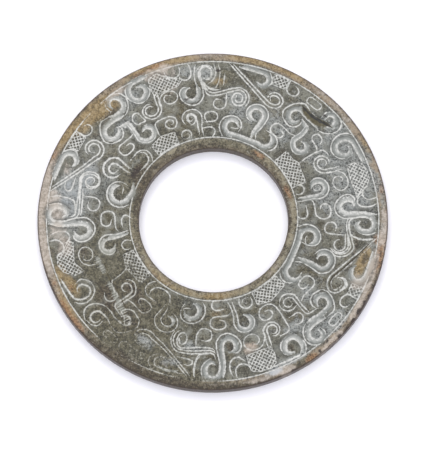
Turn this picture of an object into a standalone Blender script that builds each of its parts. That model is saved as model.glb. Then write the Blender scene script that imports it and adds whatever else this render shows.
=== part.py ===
"""Jade bi disc: a flat nephrite ring carved with one quarter motif of scrolls, cut four times round.

Units are millimetres in the design and metres in the file. The disc lies flat, +Z up, with its
underside on z = 0 and its centre on the Z axis. A place on the face is a bearing, in degrees
clockwise from +Y, and a radius. Near a place, u runs clockwise and v runs outward.
"""

import math

import bmesh
import bpy
from mathutils import Vector
from mathutils.geometry import intersect_point_line

MM = 0.001

# Disc
DISC_RADIUS = 58.0
THICKNESS = 4.4
EDGE_ROUND = 0.55
EDGE_STEPS = 2
HOLE_RADIUS = 24.7
HOLE_CENTRE = (0.28, -0.36)
HOLE_ROUND = 0.7
HOLE_FLARE = 0.6
BLANK_HOLE_RADIUS = 20.0
SHARP_ANGLE = 28.0
RIM_STEPS = 64
HOLE_STEPS = 48

# Border lines, on both faces
OUTER_BORDER_RADIUS = 55.0
INNER_BORDER_RADIUS = 28.1
INNER_BORDER_CENTRE = (0.38, 0.06)
BORDER_HALF_WIDTH = 0.35
BORDER_DEPTH = 0.28

# Cuts: a band is a slope down to a steep wall on its inner side, a line is a plain V
BAND_SLOPE = 1.05
BAND_WALL = 0.3
BAND_DEPTH = 0.5
LINE_HALF_WIDTH = 0.3
LINE_DEPTH = 0.3
CUT_RISE = 0.4
TIP_SCALE = 0.3
TIP_LENGTH = 2.2
CUT_TOLERANCE = 0.15
CURVE_STEP_ANGLE = 20.0
CURVE_SAMPLES = 8

# The four quarters of the ring start at these bearings, as the carver spaced them
QUARTER_STARTS = (6.0, 97.0, 188.7, 282.4)

# Where each figure of the motif sits in each quarter: degrees past the start, and radius
PLACES = {
    "base": ((5.5, 32.3), (4.5, 32.0), (4.0, 32.2), (3.5, 32.0)),
    "base_end": ((26.5, 32.4), (27.0, 32.0), (26.6, 31.7), (27.0, 31.6)),
    "crest": ((16.0, 39.0), (14.4, 39.0), (14.2, 37.9), (15.3, 37.2)),
    "crest_foot": ((17.8, 31.4), (18.0, 31.3), (17.6, 31.6), (17.5, 31.2)),
    "shaft_top": ((0.9, 54.2), (1.2, 54.0), (-0.3, 53.8), (-1.2, 54.0)),
    "shaft_mid": ((10.3, 47.8), (9.8, 48.2), (9.6, 47.6), (8.6, 46.9)),
    "shaft_eye": ((20.3, 46.3), (21.5, 46.4), (20.0, 46.6), (18.7, 46.5)),
    "hook": ((12.5, 51.3), (14.0, 51.5), (10.5, 51.7), (10.0, 51.8)),
    "scroll_in": ((31.8, 45.2), (31.5, 45.8), (30.6, 44.7), (29.6, 45.2)),
    "scroll_out": ((42.6, 51.7), (42.3, 51.8), (39.8, 50.9), (38.0, 51.4)),
    "arch": ((54.6, 50.3), (52.3, 50.8), (51.5, 49.4), (47.9, 50.9)),
    "arch_tip": ((62.6, 53.5), (61.2, 54.0), (58.5, 54.0), (53.6, 54.3)),
    "umbrella": ((66.9, 36.3), (66.2, 36.6), (66.0, 35.3), (65.8, 35.4)),
    "umbrella_foot": ((70.0, 29.6), (70.5, 29.3), (70.3, 29.0), (69.2, 29.6)),
    "crook": ((78.7, 45.0), (76.0, 43.7), (75.9, 43.6), (68.0, 44.3)),
    "crook_top": ((81.9, 53.2), (78.8, 53.3), (78.8, 53.3), (70.9, 53.6)),
    "top_hook": ((86.2, 50.4), (83.6, 51.2), (83.0, 51.2), (75.2, 50.8)),
    "wave_eye": ((5.5, 42.7), (5.2, 42.8), (4.8, 42.2), (5.3, 42.3)),
}

# Chips out of the upper outer edge: bearing, length along the rim, reach inward and depth
RIM_CHIPS = (
    (99.5, 5.5, 0.9, 0.9),
    (110.0, 3.2, 0.6, 0.7),
    (117.5, 6.5, 1.1, 1.2),
    (124.5, 5.0, 0.8, 0.9),
    (137.0, 5.5, 1.0, 1.1),
    (237.0, 4.0, 0.5, 0.6),
)

# A natural seam opened in the first quarter, as degrees past its start and radius
SEAM = ((30.6, 50.2), (33.6, 49.3), (36.5, 49.0), (39.5, 48.9), (42.3, 49.7), (44.6, 51.2))
SEAM_HALF_WIDTH = 0.3
SEAM_DEPTH = 0.35

# A straight saw scar left across the third quarter, from one bearing and radius to another
SAW_SCAR = ((226.5, 43.6), (251.0, 40.4))
SCAR_HALF_WIDTH = 0.55
SCAR_DEPTH = 0.22


def on_face(bearing, radius):
    """The point of the upper face at a bearing and a radius."""
    angle = math.radians(bearing)
    return Vector((radius * math.sin(angle), radius * math.cos(angle), THICKNESS))


class Quarter:
    """One quarter of the ring, which finds points near the motif's places."""

    def __init__(self, number):
        self.number = number
        self.start = QUARTER_STARTS[number]

    def near(self, place, *offsets):
        """Points at offsets (u, v) from a place."""
        degrees, radius = PLACES[place][self.number]
        points = []
        for u, v in offsets:
            bearing = self.start + degrees + math.degrees(u / radius)
            points.append(on_face(bearing, radius + v))
        return points

    def arc(self, place, first, last, start, end):
        """Points on a spiral arc about a place, from half axes first to last.

        Angles are in degrees, anticlockwise from the clockwise direction u.
        """
        count = max(2, math.ceil(abs(end - start) / CURVE_STEP_ANGLE))
        offsets = []
        for step in range(count + 1):
            part = step / count
            angle = math.radians(start + (end - start) * part)
            half_u = first[0] + (last[0] - first[0]) * part
            half_v = first[1] + (last[1] - first[1]) * part
            offsets.append((half_u * math.cos(angle), half_v * math.sin(angle)))
        return self.near(place, *offsets)


def quarter_bands(quarter):
    """The broad bands of one quarter, each with +1 where its steep wall is on the left, or -1."""
    near, arc = quarter.near, quarter.arc
    base = arc("base", (2.1, 2.1), (2.3, 2.3), 25, 260)
    base += near("base", (3.0, -2.4)) + near("base_end", (-2.0, -2.2))
    base += arc("base_end", (2.2, 2.1), (1.9, 2.2), -90, 75)
    crest = arc("crest", (1.7, 1.8), (2.5, 2.1), -95, -360)
    crest += near("crest", (2.1, -3.0)) + near("crest_foot", (-0.2, 2.4), (0.1, 0.0))
    hook = near("hook", (-7.4, 2.3), (-3.5, 2.1)) + arc("hook", (2.3, 2.0), (2.1, 1.9), 90, -120)
    scroll = near("scroll_out", (-0.4, -4.9), (-3.2, -4.9)) + near("scroll_in", (4.0, 1.7))
    scroll += arc("scroll_in", (1.8, 2.2), (1.9, 1.7), 75, 340)
    scroll_head = near("scroll_in", (3.6, 4.2)) + near("scroll_out", (-2.6, -2.3))
    scroll_head += arc("scroll_out", (1.9, 2.2), (1.3, 1.4), -80, 190)
    arch = near("arch_tip", (0.0, 0.0)) + arc("arch", (2.4, 3.2), (2.6, 2.5), 85, 290)
    arch += arc("arch", (2.6, 2.2), (2.2, 1.6), 310, 425)
    umbrella = arc("umbrella", (1.3, 1.9), (2.2, 2.2), -110, -360)
    umbrella += near("umbrella", (2.2, -3.0)) + near("umbrella_foot", (0.0, 0.0))
    crook = arc("crook", (1.7, 1.8), (2.2, 2.3), 100, 360)
    crook += near("crook", (2.3, 2.4)) + near("crook_top", (-0.3, -3.0), (0.5, 0.6))
    top_hook = near("top_hook", (-2.4, -2.4)) + arc("top_hook", (2.4, 2.6), (1.8, 2.2), -180, -450)
    return (
        (base, 1), (crest, -1), (hook, -1), (scroll, 1), (scroll_head, 1),
        (arch, 1), (umbrella, -1), (crook, 1), (top_hook, -1),
    )


def quarter_lines(quarter):
    """The main plain lines of one quarter: the shaft, the wave's spiral and the large outlines."""
    near, arc = quarter.near, quarter.arc
    lower = near("shaft_top", (-0.6, 0.0)) + near("shaft_mid", (0.0, -0.5))
    lower += arc("shaft_eye", (4.4, 3.0), (2.4, 2.4), -140, 165)
    upper = near("shaft_top", (0.9, -0.1)) + near("shaft_mid", (0.5, 0.5))
    upper += arc("shaft_eye", (3.0, 1.9), (1.4, 1.3), -140, 205)
    wave = arc("wave_eye", (3.6, 3.9), (1.3, 1.3), 90, -450)
    base_outline = arc("base", (3.1, 3.5), (4.1, 4.2), 10, 225)
    crest_outline = arc("crest", (3.2, 2.8), (4.1, 4.0), -110, -360)
    crest_outline += near("crest", (3.9, -3.2)) + near("crest_foot", (1.2, 1.4), (1.9, -0.4))
    scroll_outline = near("scroll_in", (-3.6, -2.2)) + arc("scroll_in", (4.0, 4.2), (2.2, 4.6), 170, 85)
    scroll_outline += near("scroll_in", (2.4, 4.3))
    scroll_end = near("scroll_out", (2.2, 3.2)) + arc("scroll_out", (4.4, 3.8), (3.6, 4.9), 20, -75)
    umbrella_outline = arc("umbrella", (2.6, 2.2), (3.6, 3.8), 215, 0)
    umbrella_outline += near("umbrella", (3.4, -2.6)) + near("umbrella_foot", (1.4, 1.4), (1.9, -0.6))
    crook_outline = arc("crook", (2.6, 2.4), (4.2, 4.4), 110, 345)
    crook_outline += near("crook", (4.0, 1.8)) + near("crook_top", (1.2, -3.6), (1.3, -1.2))
    arch_outline = arc("arch", (3.6, 4.2), (4.2, 4.2), 280, 120)
    return (
        lower, upper, wave, base_outline, crest_outline, scroll_outline, scroll_end,
        umbrella_outline, crook_outline, arch_outline,
    )


def simplified(points):
    """The fewest of the points that keep within the tolerance of their path."""
    first, last = points[0], points[-1]
    worst, farthest = 0.0, 0
    for index in range(1, len(points) - 1):
        foot, _ = intersect_point_line(points[index], first, last)
        distance = (points[index] - foot).length
        if distance > worst:
            worst, farthest = distance, index
    if worst <= CUT_TOLERANCE:
        return [first, last]
    return simplified(points[:farthest + 1])[:-1] + simplified(points[farthest:])


def smooth(points):
    """A Catmull-Rom curve through the points, with a point kept where each tip's taper begins."""
    ends = [points[0] * 2 - points[1]] + points + [points[-1] * 2 - points[-2]]
    fine = []
    for a, b, c, d in zip(ends, ends[1:], ends[2:], ends[3:]):
        for step in range(CURVE_SAMPLES):
            t = step / CURVE_SAMPLES
            fine.append(0.5 * (
                2 * b + (c - a) * t + (2 * a - 5 * b + 4 * c - d) * t * t
                + (3 * b - a - 3 * c + d) * t ** 3
            ))
    fine.append(points[-1])
    run = [0.0]
    for before, after in zip(fine, fine[1:]):
        run.append(run[-1] + (after - before).length)
    first = next(i for i, length in enumerate(run) if length >= TIP_LENGTH)
    last = next(i for i, length in enumerate(run) if length >= run[-1] - TIP_LENGTH)
    if last <= first:
        return simplified(fine)
    return simplified(fine[:first + 1])[:-1] + simplified(fine[first:last + 1])[:-1] + simplified(fine[last:])


def make_collection(name):
    collection = bpy.data.collections.new(name)
    bpy.context.scene.collection.children.link(collection)
    return collection


def make_material(name, colour, roughness):
    material = bpy.data.materials.new(name)
    material.use_nodes = True
    shader = material.node_tree.nodes["Principled BSDF"]
    shader.inputs["Base Color"].default_value = (*colour, 1.0)
    shader.inputs["Roughness"].default_value = roughness
    shader.inputs["Metallic"].default_value = 0.0
    return material


def applied_mesh(source):
    """The evaluated mesh of an object, with its loose caps welded and its faces outward."""
    graph = bpy.context.evaluated_depsgraph_get()
    mesh = bpy.data.meshes.new_from_object(source.evaluated_get(graph))
    work = bmesh.new()
    work.from_mesh(mesh)
    bmesh.ops.remove_doubles(work, verts=work.verts, dist=0.000001)
    bmesh.ops.recalc_face_normals(work, faces=work.faces)
    work.to_mesh(mesh)
    work.free()
    return mesh


def turned(name, profile, steps, collection, closed):
    """A solid turned about Z from a profile of (radius, height) points."""
    mesh = bpy.data.meshes.new(name)
    edges = [(i, i + 1) for i in range(len(profile) - 1)]
    if closed:
        edges.append((len(profile) - 1, 0))
    mesh.from_pydata([(r * MM, 0.0, z * MM) for r, z in profile], edges, [])
    body = bpy.data.objects.new(name, mesh)
    collection.objects.link(body)
    screw = body.modifiers.new("turn", "SCREW")
    screw.steps = steps
    screw.render_steps = steps
    screw.use_merge_vertices = True
    screw.merge_threshold = 0.00001
    return body


def hide_cutter(cutter):
    cutter.hide_render = True
    cutter.display_type = "WIRE"


def swept_cutter(name, points, section, collection):
    """A closed cutter: a section drawn along the points, narrowing at both tips."""
    data = bpy.data.curves.new(name, "CURVE")
    data.dimensions = "3D"
    data.twist_mode = "Z_UP"
    data.bevel_mode = "OBJECT"
    data.bevel_object = section
    data.use_fill_caps = True
    spline = data.splines.new("POLY")
    spline.points.add(len(points) - 1)
    run = 0.0
    total = sum((b - a).length for a, b in zip(points, points[1:]))
    for index, point in enumerate(points):
        if index:
            run += (point - points[index - 1]).length
        near_tip = min(run, total - run) / TIP_LENGTH
        spline.points[index].co = (*(point * MM), 1.0)
        spline.points[index].radius = TIP_SCALE + (1 - TIP_SCALE) * min(near_tip, 1.0)
    curve = bpy.data.objects.new(name, data)
    collection.objects.link(curve)
    mesh = applied_mesh(curve)
    cutter = bpy.data.objects.new(name, mesh)
    cutter.matrix_world = curve.matrix_world
    collection.objects.link(cutter)
    bpy.data.objects.remove(curve)
    hide_cutter(cutter)


def make_section(name, left, right, depth, collection):
    """The outline of a cut: its bottom at (0, -depth), its lips left and right at the face."""
    rise = 1 + CUT_RISE / depth
    corners = ((-left * rise, CUT_RISE), (right * rise, CUT_RISE), (0.0, -depth))
    data = bpy.data.curves.new(name, "CURVE")
    data.dimensions = "2D"
    spline = data.splines.new("POLY")
    spline.points.add(len(corners) - 1)
    for point, (x, y) in zip(spline.points, corners):
        point.co = (x * MM, y * MM, 0.0, 1.0)
    spline.use_cyclic_u = True
    section = bpy.data.objects.new(name, data)
    collection.objects.link(section)
    hide_cutter(section)
    return section


def disc_profile():
    """The turned section of the ring before its hole is opened: rounded rim, a border line a side."""
    top, groove = THICKNESS, OUTER_BORDER_RADIUS
    upper = [
        (BLANK_HOLE_RADIUS, top),
        (groove - BORDER_HALF_WIDTH, top),
        (groove, top - BORDER_DEPTH),
        (groove + BORDER_HALF_WIDTH, top),
    ]
    for step in range(EDGE_STEPS + 1):
        angle = math.radians(90 * (1 - step / EDGE_STEPS))
        upper.append((
            DISC_RADIUS - EDGE_ROUND + EDGE_ROUND * math.cos(angle),
            top - EDGE_ROUND + EDGE_ROUND * math.sin(angle),
        ))
    lower = [(r, top - z) for r, z in reversed(upper)]
    return upper + lower


def hole_profile():
    """The section of the hole's cutter, flared at both faces to round the edges."""
    top = THICKNESS + CUT_RISE
    flare = [(HOLE_RADIUS + HOLE_ROUND + CUT_RISE, top)]
    for step in range(EDGE_STEPS + 1):
        angle = math.radians(90 * step / EDGE_STEPS)
        flare.append((
            HOLE_RADIUS + HOLE_ROUND * HOLE_FLARE * (1 - math.sin(angle)),
            THICKNESS - HOLE_ROUND * (1 - math.cos(angle)),
        ))
    upper = [(0.0, top)] + flare
    lower = [(r, THICKNESS - z) for r, z in reversed(upper)]
    return upper + lower


def inner_border_cutter(name, height, side, collection):
    """A ring that cuts the inner border line in the upper (+1) or the lower (-1) face."""
    rise = 1 + CUT_RISE / BORDER_DEPTH
    radius, half = INNER_BORDER_RADIUS, BORDER_HALF_WIDTH * rise
    profile = [
        (radius - half, height + CUT_RISE * side),
        (radius + half, height + CUT_RISE * side),
        (radius, height - BORDER_DEPTH * side),
    ]
    if side < 0:
        profile.reverse()
    ring = turned(name, profile, RIM_STEPS, collection, closed=True)
    ring.location = (INNER_BORDER_CENTRE[0] * MM, INNER_BORDER_CENTRE[1] * MM, 0.0)
    hide_cutter(ring)


def chip_cutter(name, bearing, length, reach, depth, collection):
    """A flattened ball that bites the upper outer edge."""
    mesh = bpy.data.meshes.new(name)
    work = bmesh.new()
    bmesh.ops.create_icosphere(work, subdivisions=2, radius=1.0)
    bmesh.ops.scale(work, vec=(length / 2 * MM, reach * 1.5 * MM, depth * 1.5 * MM), verts=work.verts)
    work.to_mesh(mesh)
    work.free()
    chip = bpy.data.objects.new(name, mesh)
    centre = on_face(bearing, DISC_RADIUS + reach / 2)
    chip.location = (centre.x * MM, centre.y * MM, (THICKNESS + depth / 2) * MM)
    chip.rotation_euler = (0.0, 0.0, math.radians(-bearing))
    collection.objects.link(chip)
    hide_cutter(chip)


def make_cutters(collection):
    """All the cuts: the hole, the border lines, the carving, the chips, the seam and the scar."""
    hole = turned("hole_cutter", hole_profile(), HOLE_STEPS, collection, closed=False)
    hole.location = (HOLE_CENTRE[0] * MM, HOLE_CENTRE[1] * MM, 0.0)
    hide_cutter(hole)
    inner_border_cutter("upper_inner_border", THICKNESS, 1, collection)
    inner_border_cutter("lower_inner_border", 0.0, -1, collection)
    sections = make_collection("cut_sections")
    band_sections = {
        1: make_section("band_wall_left", BAND_WALL, BAND_SLOPE, BAND_DEPTH, sections),
        -1: make_section("band_wall_right", BAND_SLOPE, BAND_WALL, BAND_DEPTH, sections),
    }
    line_section = make_section("line", LINE_HALF_WIDTH, LINE_HALF_WIDTH, LINE_DEPTH, sections)
    seam_section = make_section("seam", SEAM_HALF_WIDTH, SEAM_HALF_WIDTH, SEAM_DEPTH, sections)
    scar_section = make_section("scar", SCAR_HALF_WIDTH, SCAR_HALF_WIDTH, SCAR_DEPTH, sections)
    for number in range(len(QUARTER_STARTS)):
        quarter = Quarter(number)
        for index, (points, wall) in enumerate(quarter_bands(quarter)):
            name = f"band_{number}_{index}"
            swept_cutter(name, smooth(points), band_sections[wall], collection)
        for index, points in enumerate(quarter_lines(quarter)):
            swept_cutter(f"line_{number}_{index}", smooth(points), line_section, collection)
    seam = [on_face(QUARTER_STARTS[0] + degrees, radius) for degrees, radius in SEAM]
    swept_cutter("seam_cutter", smooth(seam), seam_section, collection)
    scar = [on_face(bearing, radius) for bearing, radius in SAW_SCAR]
    swept_cutter("scar_cutter", scar, scar_section, collection)
    for index, chip in enumerate(RIM_CHIPS):
        chip_cutter(f"chip_{index}", *chip, collection)


def make_disc(collection, cutters):
    """The carved disc, one solid, its round edges smooth and its cuts crisp."""
    blank = turned("blank", disc_profile(), RIM_STEPS, collection, closed=True)
    cut = blank.modifiers.new("carve", "BOOLEAN")
    cut.operation = "DIFFERENCE"
    cut.solver = "EXACT"
    cut.operand_type = "COLLECTION"
    cut.collection = cutters
    mesh = applied_mesh(blank)
    mesh.shade_smooth()
    mesh.set_sharp_from_angle(angle=math.radians(SHARP_ANGLE))
    mesh.materials.clear()
    mesh.materials.append(make_material("carved_nephrite", (0.30, 0.29, 0.24), 0.42))
    disc = bpy.data.objects.new("bi_disc", mesh)
    collection.objects.link(disc)
    bpy.data.objects.remove(blank)
    return disc


def main():
    for leftover in list(bpy.data.objects):
        bpy.data.objects.remove(leftover)
    parts = make_collection("jade_bi_disc")
    cutters = make_collection("cutters")
    make_cutters(cutters)
    make_disc(parts, cutters)


main()
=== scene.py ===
"""The jade bi disc dressed: its worn, whitened and stained stone with every cut of the carving.

The carving is laid out in millimetres. A place on the face is a bearing, in degrees clockwise from
+Y, and a radius. Near a place, u runs clockwise and v runs outward.
"""
import math

import bmesh
import bpy
import numpy as np
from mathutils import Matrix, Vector
from mathutils.geometry import delaunay_2d_cdt


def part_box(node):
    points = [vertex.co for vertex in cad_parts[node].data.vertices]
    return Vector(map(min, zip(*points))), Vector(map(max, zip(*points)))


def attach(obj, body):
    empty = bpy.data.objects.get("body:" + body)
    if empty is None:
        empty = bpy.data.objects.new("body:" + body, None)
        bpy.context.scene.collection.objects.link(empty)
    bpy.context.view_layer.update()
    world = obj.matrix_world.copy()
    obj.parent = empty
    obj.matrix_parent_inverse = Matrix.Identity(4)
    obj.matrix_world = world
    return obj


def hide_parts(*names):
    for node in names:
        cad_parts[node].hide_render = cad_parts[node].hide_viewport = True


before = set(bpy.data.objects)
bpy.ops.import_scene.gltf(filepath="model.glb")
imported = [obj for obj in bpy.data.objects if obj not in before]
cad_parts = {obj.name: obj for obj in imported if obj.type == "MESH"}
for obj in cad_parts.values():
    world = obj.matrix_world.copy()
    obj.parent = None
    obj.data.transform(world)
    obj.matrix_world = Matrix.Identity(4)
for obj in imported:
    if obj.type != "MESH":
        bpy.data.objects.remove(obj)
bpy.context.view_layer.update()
MM = 0.001

# Disc: its size from the frame's own node, its roundings and its hole in millimetres
LOW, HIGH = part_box("bi_disc")
DISC_RADIUS = (HIGH[0] - LOW[0]) / 2 / MM
THICKNESS = (HIGH[2] - LOW[2]) / MM
EDGE_ROUND = 0.55
HOLE_RADIUS = 24.7
HOLE_CENTRE = (0.28, -0.36)
HOLE_FLARE = 0.42
HOLE_ROUND = 0.7
OUTER_BORDER_RADIUS = 55.0
INNER_BORDER_RADIUS = 28.0
INNER_BORDER_CENTRE = (0.3, 0.1)
# Border lines: centre, radius, and how far the hand-cut line strays from a circle
BORDERS = (((0.0, 0.0), OUTER_BORDER_RADIUS, 0.05), (INNER_BORDER_CENTRE, INNER_BORDER_RADIUS, 0.22))
STRAY_BEARING = 12.0

# Cuts: half widths and depths in millimetres
LINE_HALF = 0.34
LINE_DEPTH = 0.2
BORDER_HALF = 0.3
BORDER_DEPTH = 0.22
BAND_SLOPE = 1.8
BAND_WALL = 0.42
BAND_DEPTH = 0.42
SLIM_HALF = 0.46
HATCH_HALF = 0.22
HATCH_DEPTH = 0.16
HATCH_PITCH = 1.0
# A hatched line is cut off at its panel's edge in these steps, and left out if it has few of them
HATCH_TRIM = 0.12
HATCH_LEAST = 6
HATCH_EDGE_HALF = 0.24
HATCH_EDGE_POINTS = 6
# A cut narrows to this share at its tips, over this length
TIP_SCALE = 0.35
TIP_LENGTH = 1.6
# How quickly the matter in a cut gets full from its lip, and what a border line holds
BAND_FILL_RISE = 5
LINE_FILL_RISE = 2.4
BORDER_FILL_RISE = 1.9
BORDER_FILL = 0.95
# The painted shade on the stone beyond a broad cut's lips, and the pale film round any cut
GROOVE_SHADE_WIDTH = 0.5
HALO_WIDTH = 1.1
# The share of a cut's depth that wear leaves where its matter is gone
DEPTH_KEPT = 0.4

# Paths: the spacing of points along a cut, degrees between an arc's points, and points that bend
# a stretch between two of them
PATH_STEP = 0.42
ARC_STEP = 16.0
CURVE_POINTS = 10

# Hand-ground waves of the face, which fade out towards its edges
WAVE_HEIGHT = 0.07
WAVE_SCALE = 70.0
EDGE_FADE = 1.5

# Mesh: the spacing of a face's own points, how near they may come to a cut's as a share of that, the
# spacing along a border line, the gap below which two points are one, and the points of a rim
FACE_SPACING = 0.62
BACK_SPACING = 1.6
CLEAR_SHARE = 0.42
BORDER_STEP = PATH_STEP * 1.2
MERGE_GAP = 1e-5
RIM_STEPS = 600
HOLE_STEPS = 300
# A wall's rounding, from the face at 90 degrees to the wall at 0, and the heights between its two
# roundings as shares of the thickness
ROUND_TURNS = (90, 65, 42, 20, 0)
WALL_HEIGHTS = (0.62, 0.38)

# The colours as the studio's light shows them, from 0 to 255: the stone's clouds, its plain rims, what
# lies in and round the cuts with the painted shade beside and down the broad cuts and along the saw
# scar's edges, its breaks, and a light and a deep tone of each stain
TONES = {
    "olive stone": (77, 74, 55), "grey stone": (122, 121, 105), "ochre stone": (98, 89, 60),
    "blue stone": (89, 94, 89), "dark stone": (70, 68, 55), "pale stone": (134, 135, 124),
    "white stone": (148, 152, 147), "light rim": (162, 145, 121), "brown rim": (122, 108, 83),
    "light collar": (155, 145, 117), "brown collar": (113, 104, 79), "outer edge": (86, 60, 34),
    "hole edge": (78, 62, 42), "dark mottle": (52, 50, 38), "pale mottle": (150, 150, 134),
    "pores": (26, 24, 16), "crust": (167, 165, 150), "chalk": (194, 201, 204), "thin film": (140, 142, 133),
    # Painted shade beside the cuts' lips: the first tone below
    "painted groove shade": (60, 61, 52), "white matter": (228, 228, 219), "grey matter": (176, 177, 168),
    # Grey matter that also paints shade down a broad cut's slope: the first two tones below
    "dimmed matter and slope shade": (149, 152, 145), "dull matter and deep slope shade": (97, 100, 93), "bright matter": (236, 235, 226),
    # The last tone below and the first two of the next line are earth, and also paint shade along the saw
    # marks' edges
    "olive matter": (134, 130, 100), "cream matter": (214, 197, 176), "dry earth and saw-edge shade": (88, 80, 48),
    "damp earth and saw-edge shade": (54, 48, 28), "deep earth and saw-edge shade": (14, 12, 5), "fresh break": (206, 188, 164),
    "break shadow": (56, 40, 28), "wall": (60, 45, 34), "light olive": (104, 98, 73),
    "deep olive": (76, 72, 50), "light golden": (168, 144, 96), "deep golden": (134, 112, 68),
    "light film": (168, 172, 168), "deep film": (136, 141, 136), "light brown": (84, 72, 50),
    "deep brown": (60, 51, 34), "light orange": (166, 124, 80), "deep orange": (122, 86, 52),
    "light cream": (206, 195, 180), "deep cream": (170, 160, 144), "light pits": (52, 38, 28),
    "deep pits": (34, 26, 20),
}

# Studio: the floor's half size and drop, the pale sky, and the soft lamp above and behind the disc
FLOOR_REACH = 3.0
FLOOR_DROP = 0.02 * MM
FLOOR_COLOUR = (0.96, 0.96, 0.96, 1)
SKY_COLOUR = (0.94, 0.94, 1.02, 1)
SKY_STRENGTH = 1.34
LAMP_PLACE = (-0.15, 0.75, 0.85)
LAMP_SIZE = 0.5
LAMP_POWER = 3.0
LAMP_COLOUR = (1.0, 0.97, 0.92)
# How much brighter than its colour that light shows a level face
STUDIO_GAIN = 1.33

# Camera: metres away, degrees above level, focal length and sensor in millimetres, shift and reach
CAMERA_AWAY = 0.85
CAMERA_RISE = 73.92
FOCAL_LENGTH = 202.81
SENSOR_WIDTH = 36.0
LENS_SHIFT = (0.0072467, -0.0108150)
CLIP = (0.05, 20.0)

# The four quarters of the ring start at these bearings, as the carver spaced them
QUARTER_STARTS = (6.0, 97.0, 188.7, 282.4)

# Where each figure sits in each quarter: degrees past the quarter's start, and radius
PLACES = {
    "base": ((5.5, 32.7), (4.5, 32), (4, 32.2), (3.5, 31.9)),
    "base_end": ((26.5, 32.8), (27, 32), (26.6, 31.7), (27, 31.6)),
    "crest": ((16, 39), (14.4, 39), (14.2, 37.9), (15.3, 37.2)),
    "crest_foot": ((17.8, 31.4), (18, 31.3), (17.6, 31.6), (17.5, 31.2)),
    "shaft_top": ((0.5, 54.4), (0.9, 54.2), (-0.6, 54), (-1.7, 54.3)),
    "shaft_mid": ((9.8, 47.8), (9.6, 48), (9.6, 47.3), (8.6, 46.9)),
    "shaft_eye": ((20.3, 46.3), (21.5, 46.4), (20, 46.6), (18.7, 46.5)),
    "hook": ((12.5, 51.3), (14, 51.5), (10.5, 51.7), (10, 51.8)),
    "ring": ((25.2, 52.2), (26, 52), (24.8, 52.2), (23.8, 52.2)),
    "slot": ((34.3, 52.6), (33.5, 52.8), (31.2, 52.2), (30.8, 52.5)),
    "scroll_in": ((31.8, 45.2), (31.5, 45.8), (30.6, 44.7), (29.6, 45.2)),
    "scroll_out": ((42.6, 51.7), (42.3, 51.8), (39.8, 50.9), (38, 51.4)),
    "stem_top": ((38.8, 44.6), (38.3, 44.8), (37.5, 43.6), (37.2, 43.6)),
    "stem_eye": ((43.3, 38.7), (42.2, 38), (41.3, 37), (41.2, 37)),
    "comma": ((29.5, 37.4), (28.8, 37.9), (28.6, 37.1), (28, 37.5)),
    "curl": ((45.8, 44.2), (43.6, 43.8), (43, 42.4), (41.8, 42.8)),
    "arch": ((54.6, 50.3), (52.1, 50.9), (51.1, 49.5), (47.9, 50.9)),
    "arch_tip": ((62.6, 53.5), (61.2, 54), (58.5, 54), (53.6, 54.3)),
    "coil": ((56.4, 41.2), (55.6, 42.6), (55.6, 42.6), (48.8, 43)),
    "bead": ((74.6, 52.9), (72.2, 52.7), (70.3, 52.6), (62.8, 53.2)),
    "sickle": ((77.3, 50.8), (73.8, 50.2), (73.9, 50), (67, 51.5)),
    "whorl": ((67.3, 43.9), (65.6, 43.6), (64.6, 43.4), (58.7, 44.4)),
    "umbrella": ((66.9, 36.3), (66.2, 36.6), (66, 35.3), (65.8, 35.4)),
    "umbrella_foot": ((70, 29.6), (70.5, 29.3), (70.3, 29), (69.2, 29.6)),
    "foot_ring": ((64.7, 30.2), (62.2, 30.3), (63.6, 29.6), (61, 30.2)),
    "bean": ((80, 36.9), (80, 35.9), (81, 34.7), (76.8, 35.7)),
    "toe": ((81.5, 30), (81, 29.9), (80.8, 29), (76.5, 30.5)),
    "crook": ((78.7, 45), (76, 43.7), (75.9, 43.6), (68, 44.3)),
    "crook_top": ((81.9, 53.2), (78.8, 53.3), (78.8, 53.3), (70.9, 53.6)),
    "top_hook": ((86.2, 50.4), (83.1, 51.2), (82.9, 51.2), (75, 50.8)),
    "wave": ((85, 44.6), (83, 44.9), (83, 44.3), (75.5, 43.8)),
    "eye": ((5.5, 42.7), (5.2, 42.8), (4.8, 42.2), (5.3, 42.3)),
    "end_ring": ((89, 39.2), (87, 40), (88.6, 39.9), (80.8, 40)),
}

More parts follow.
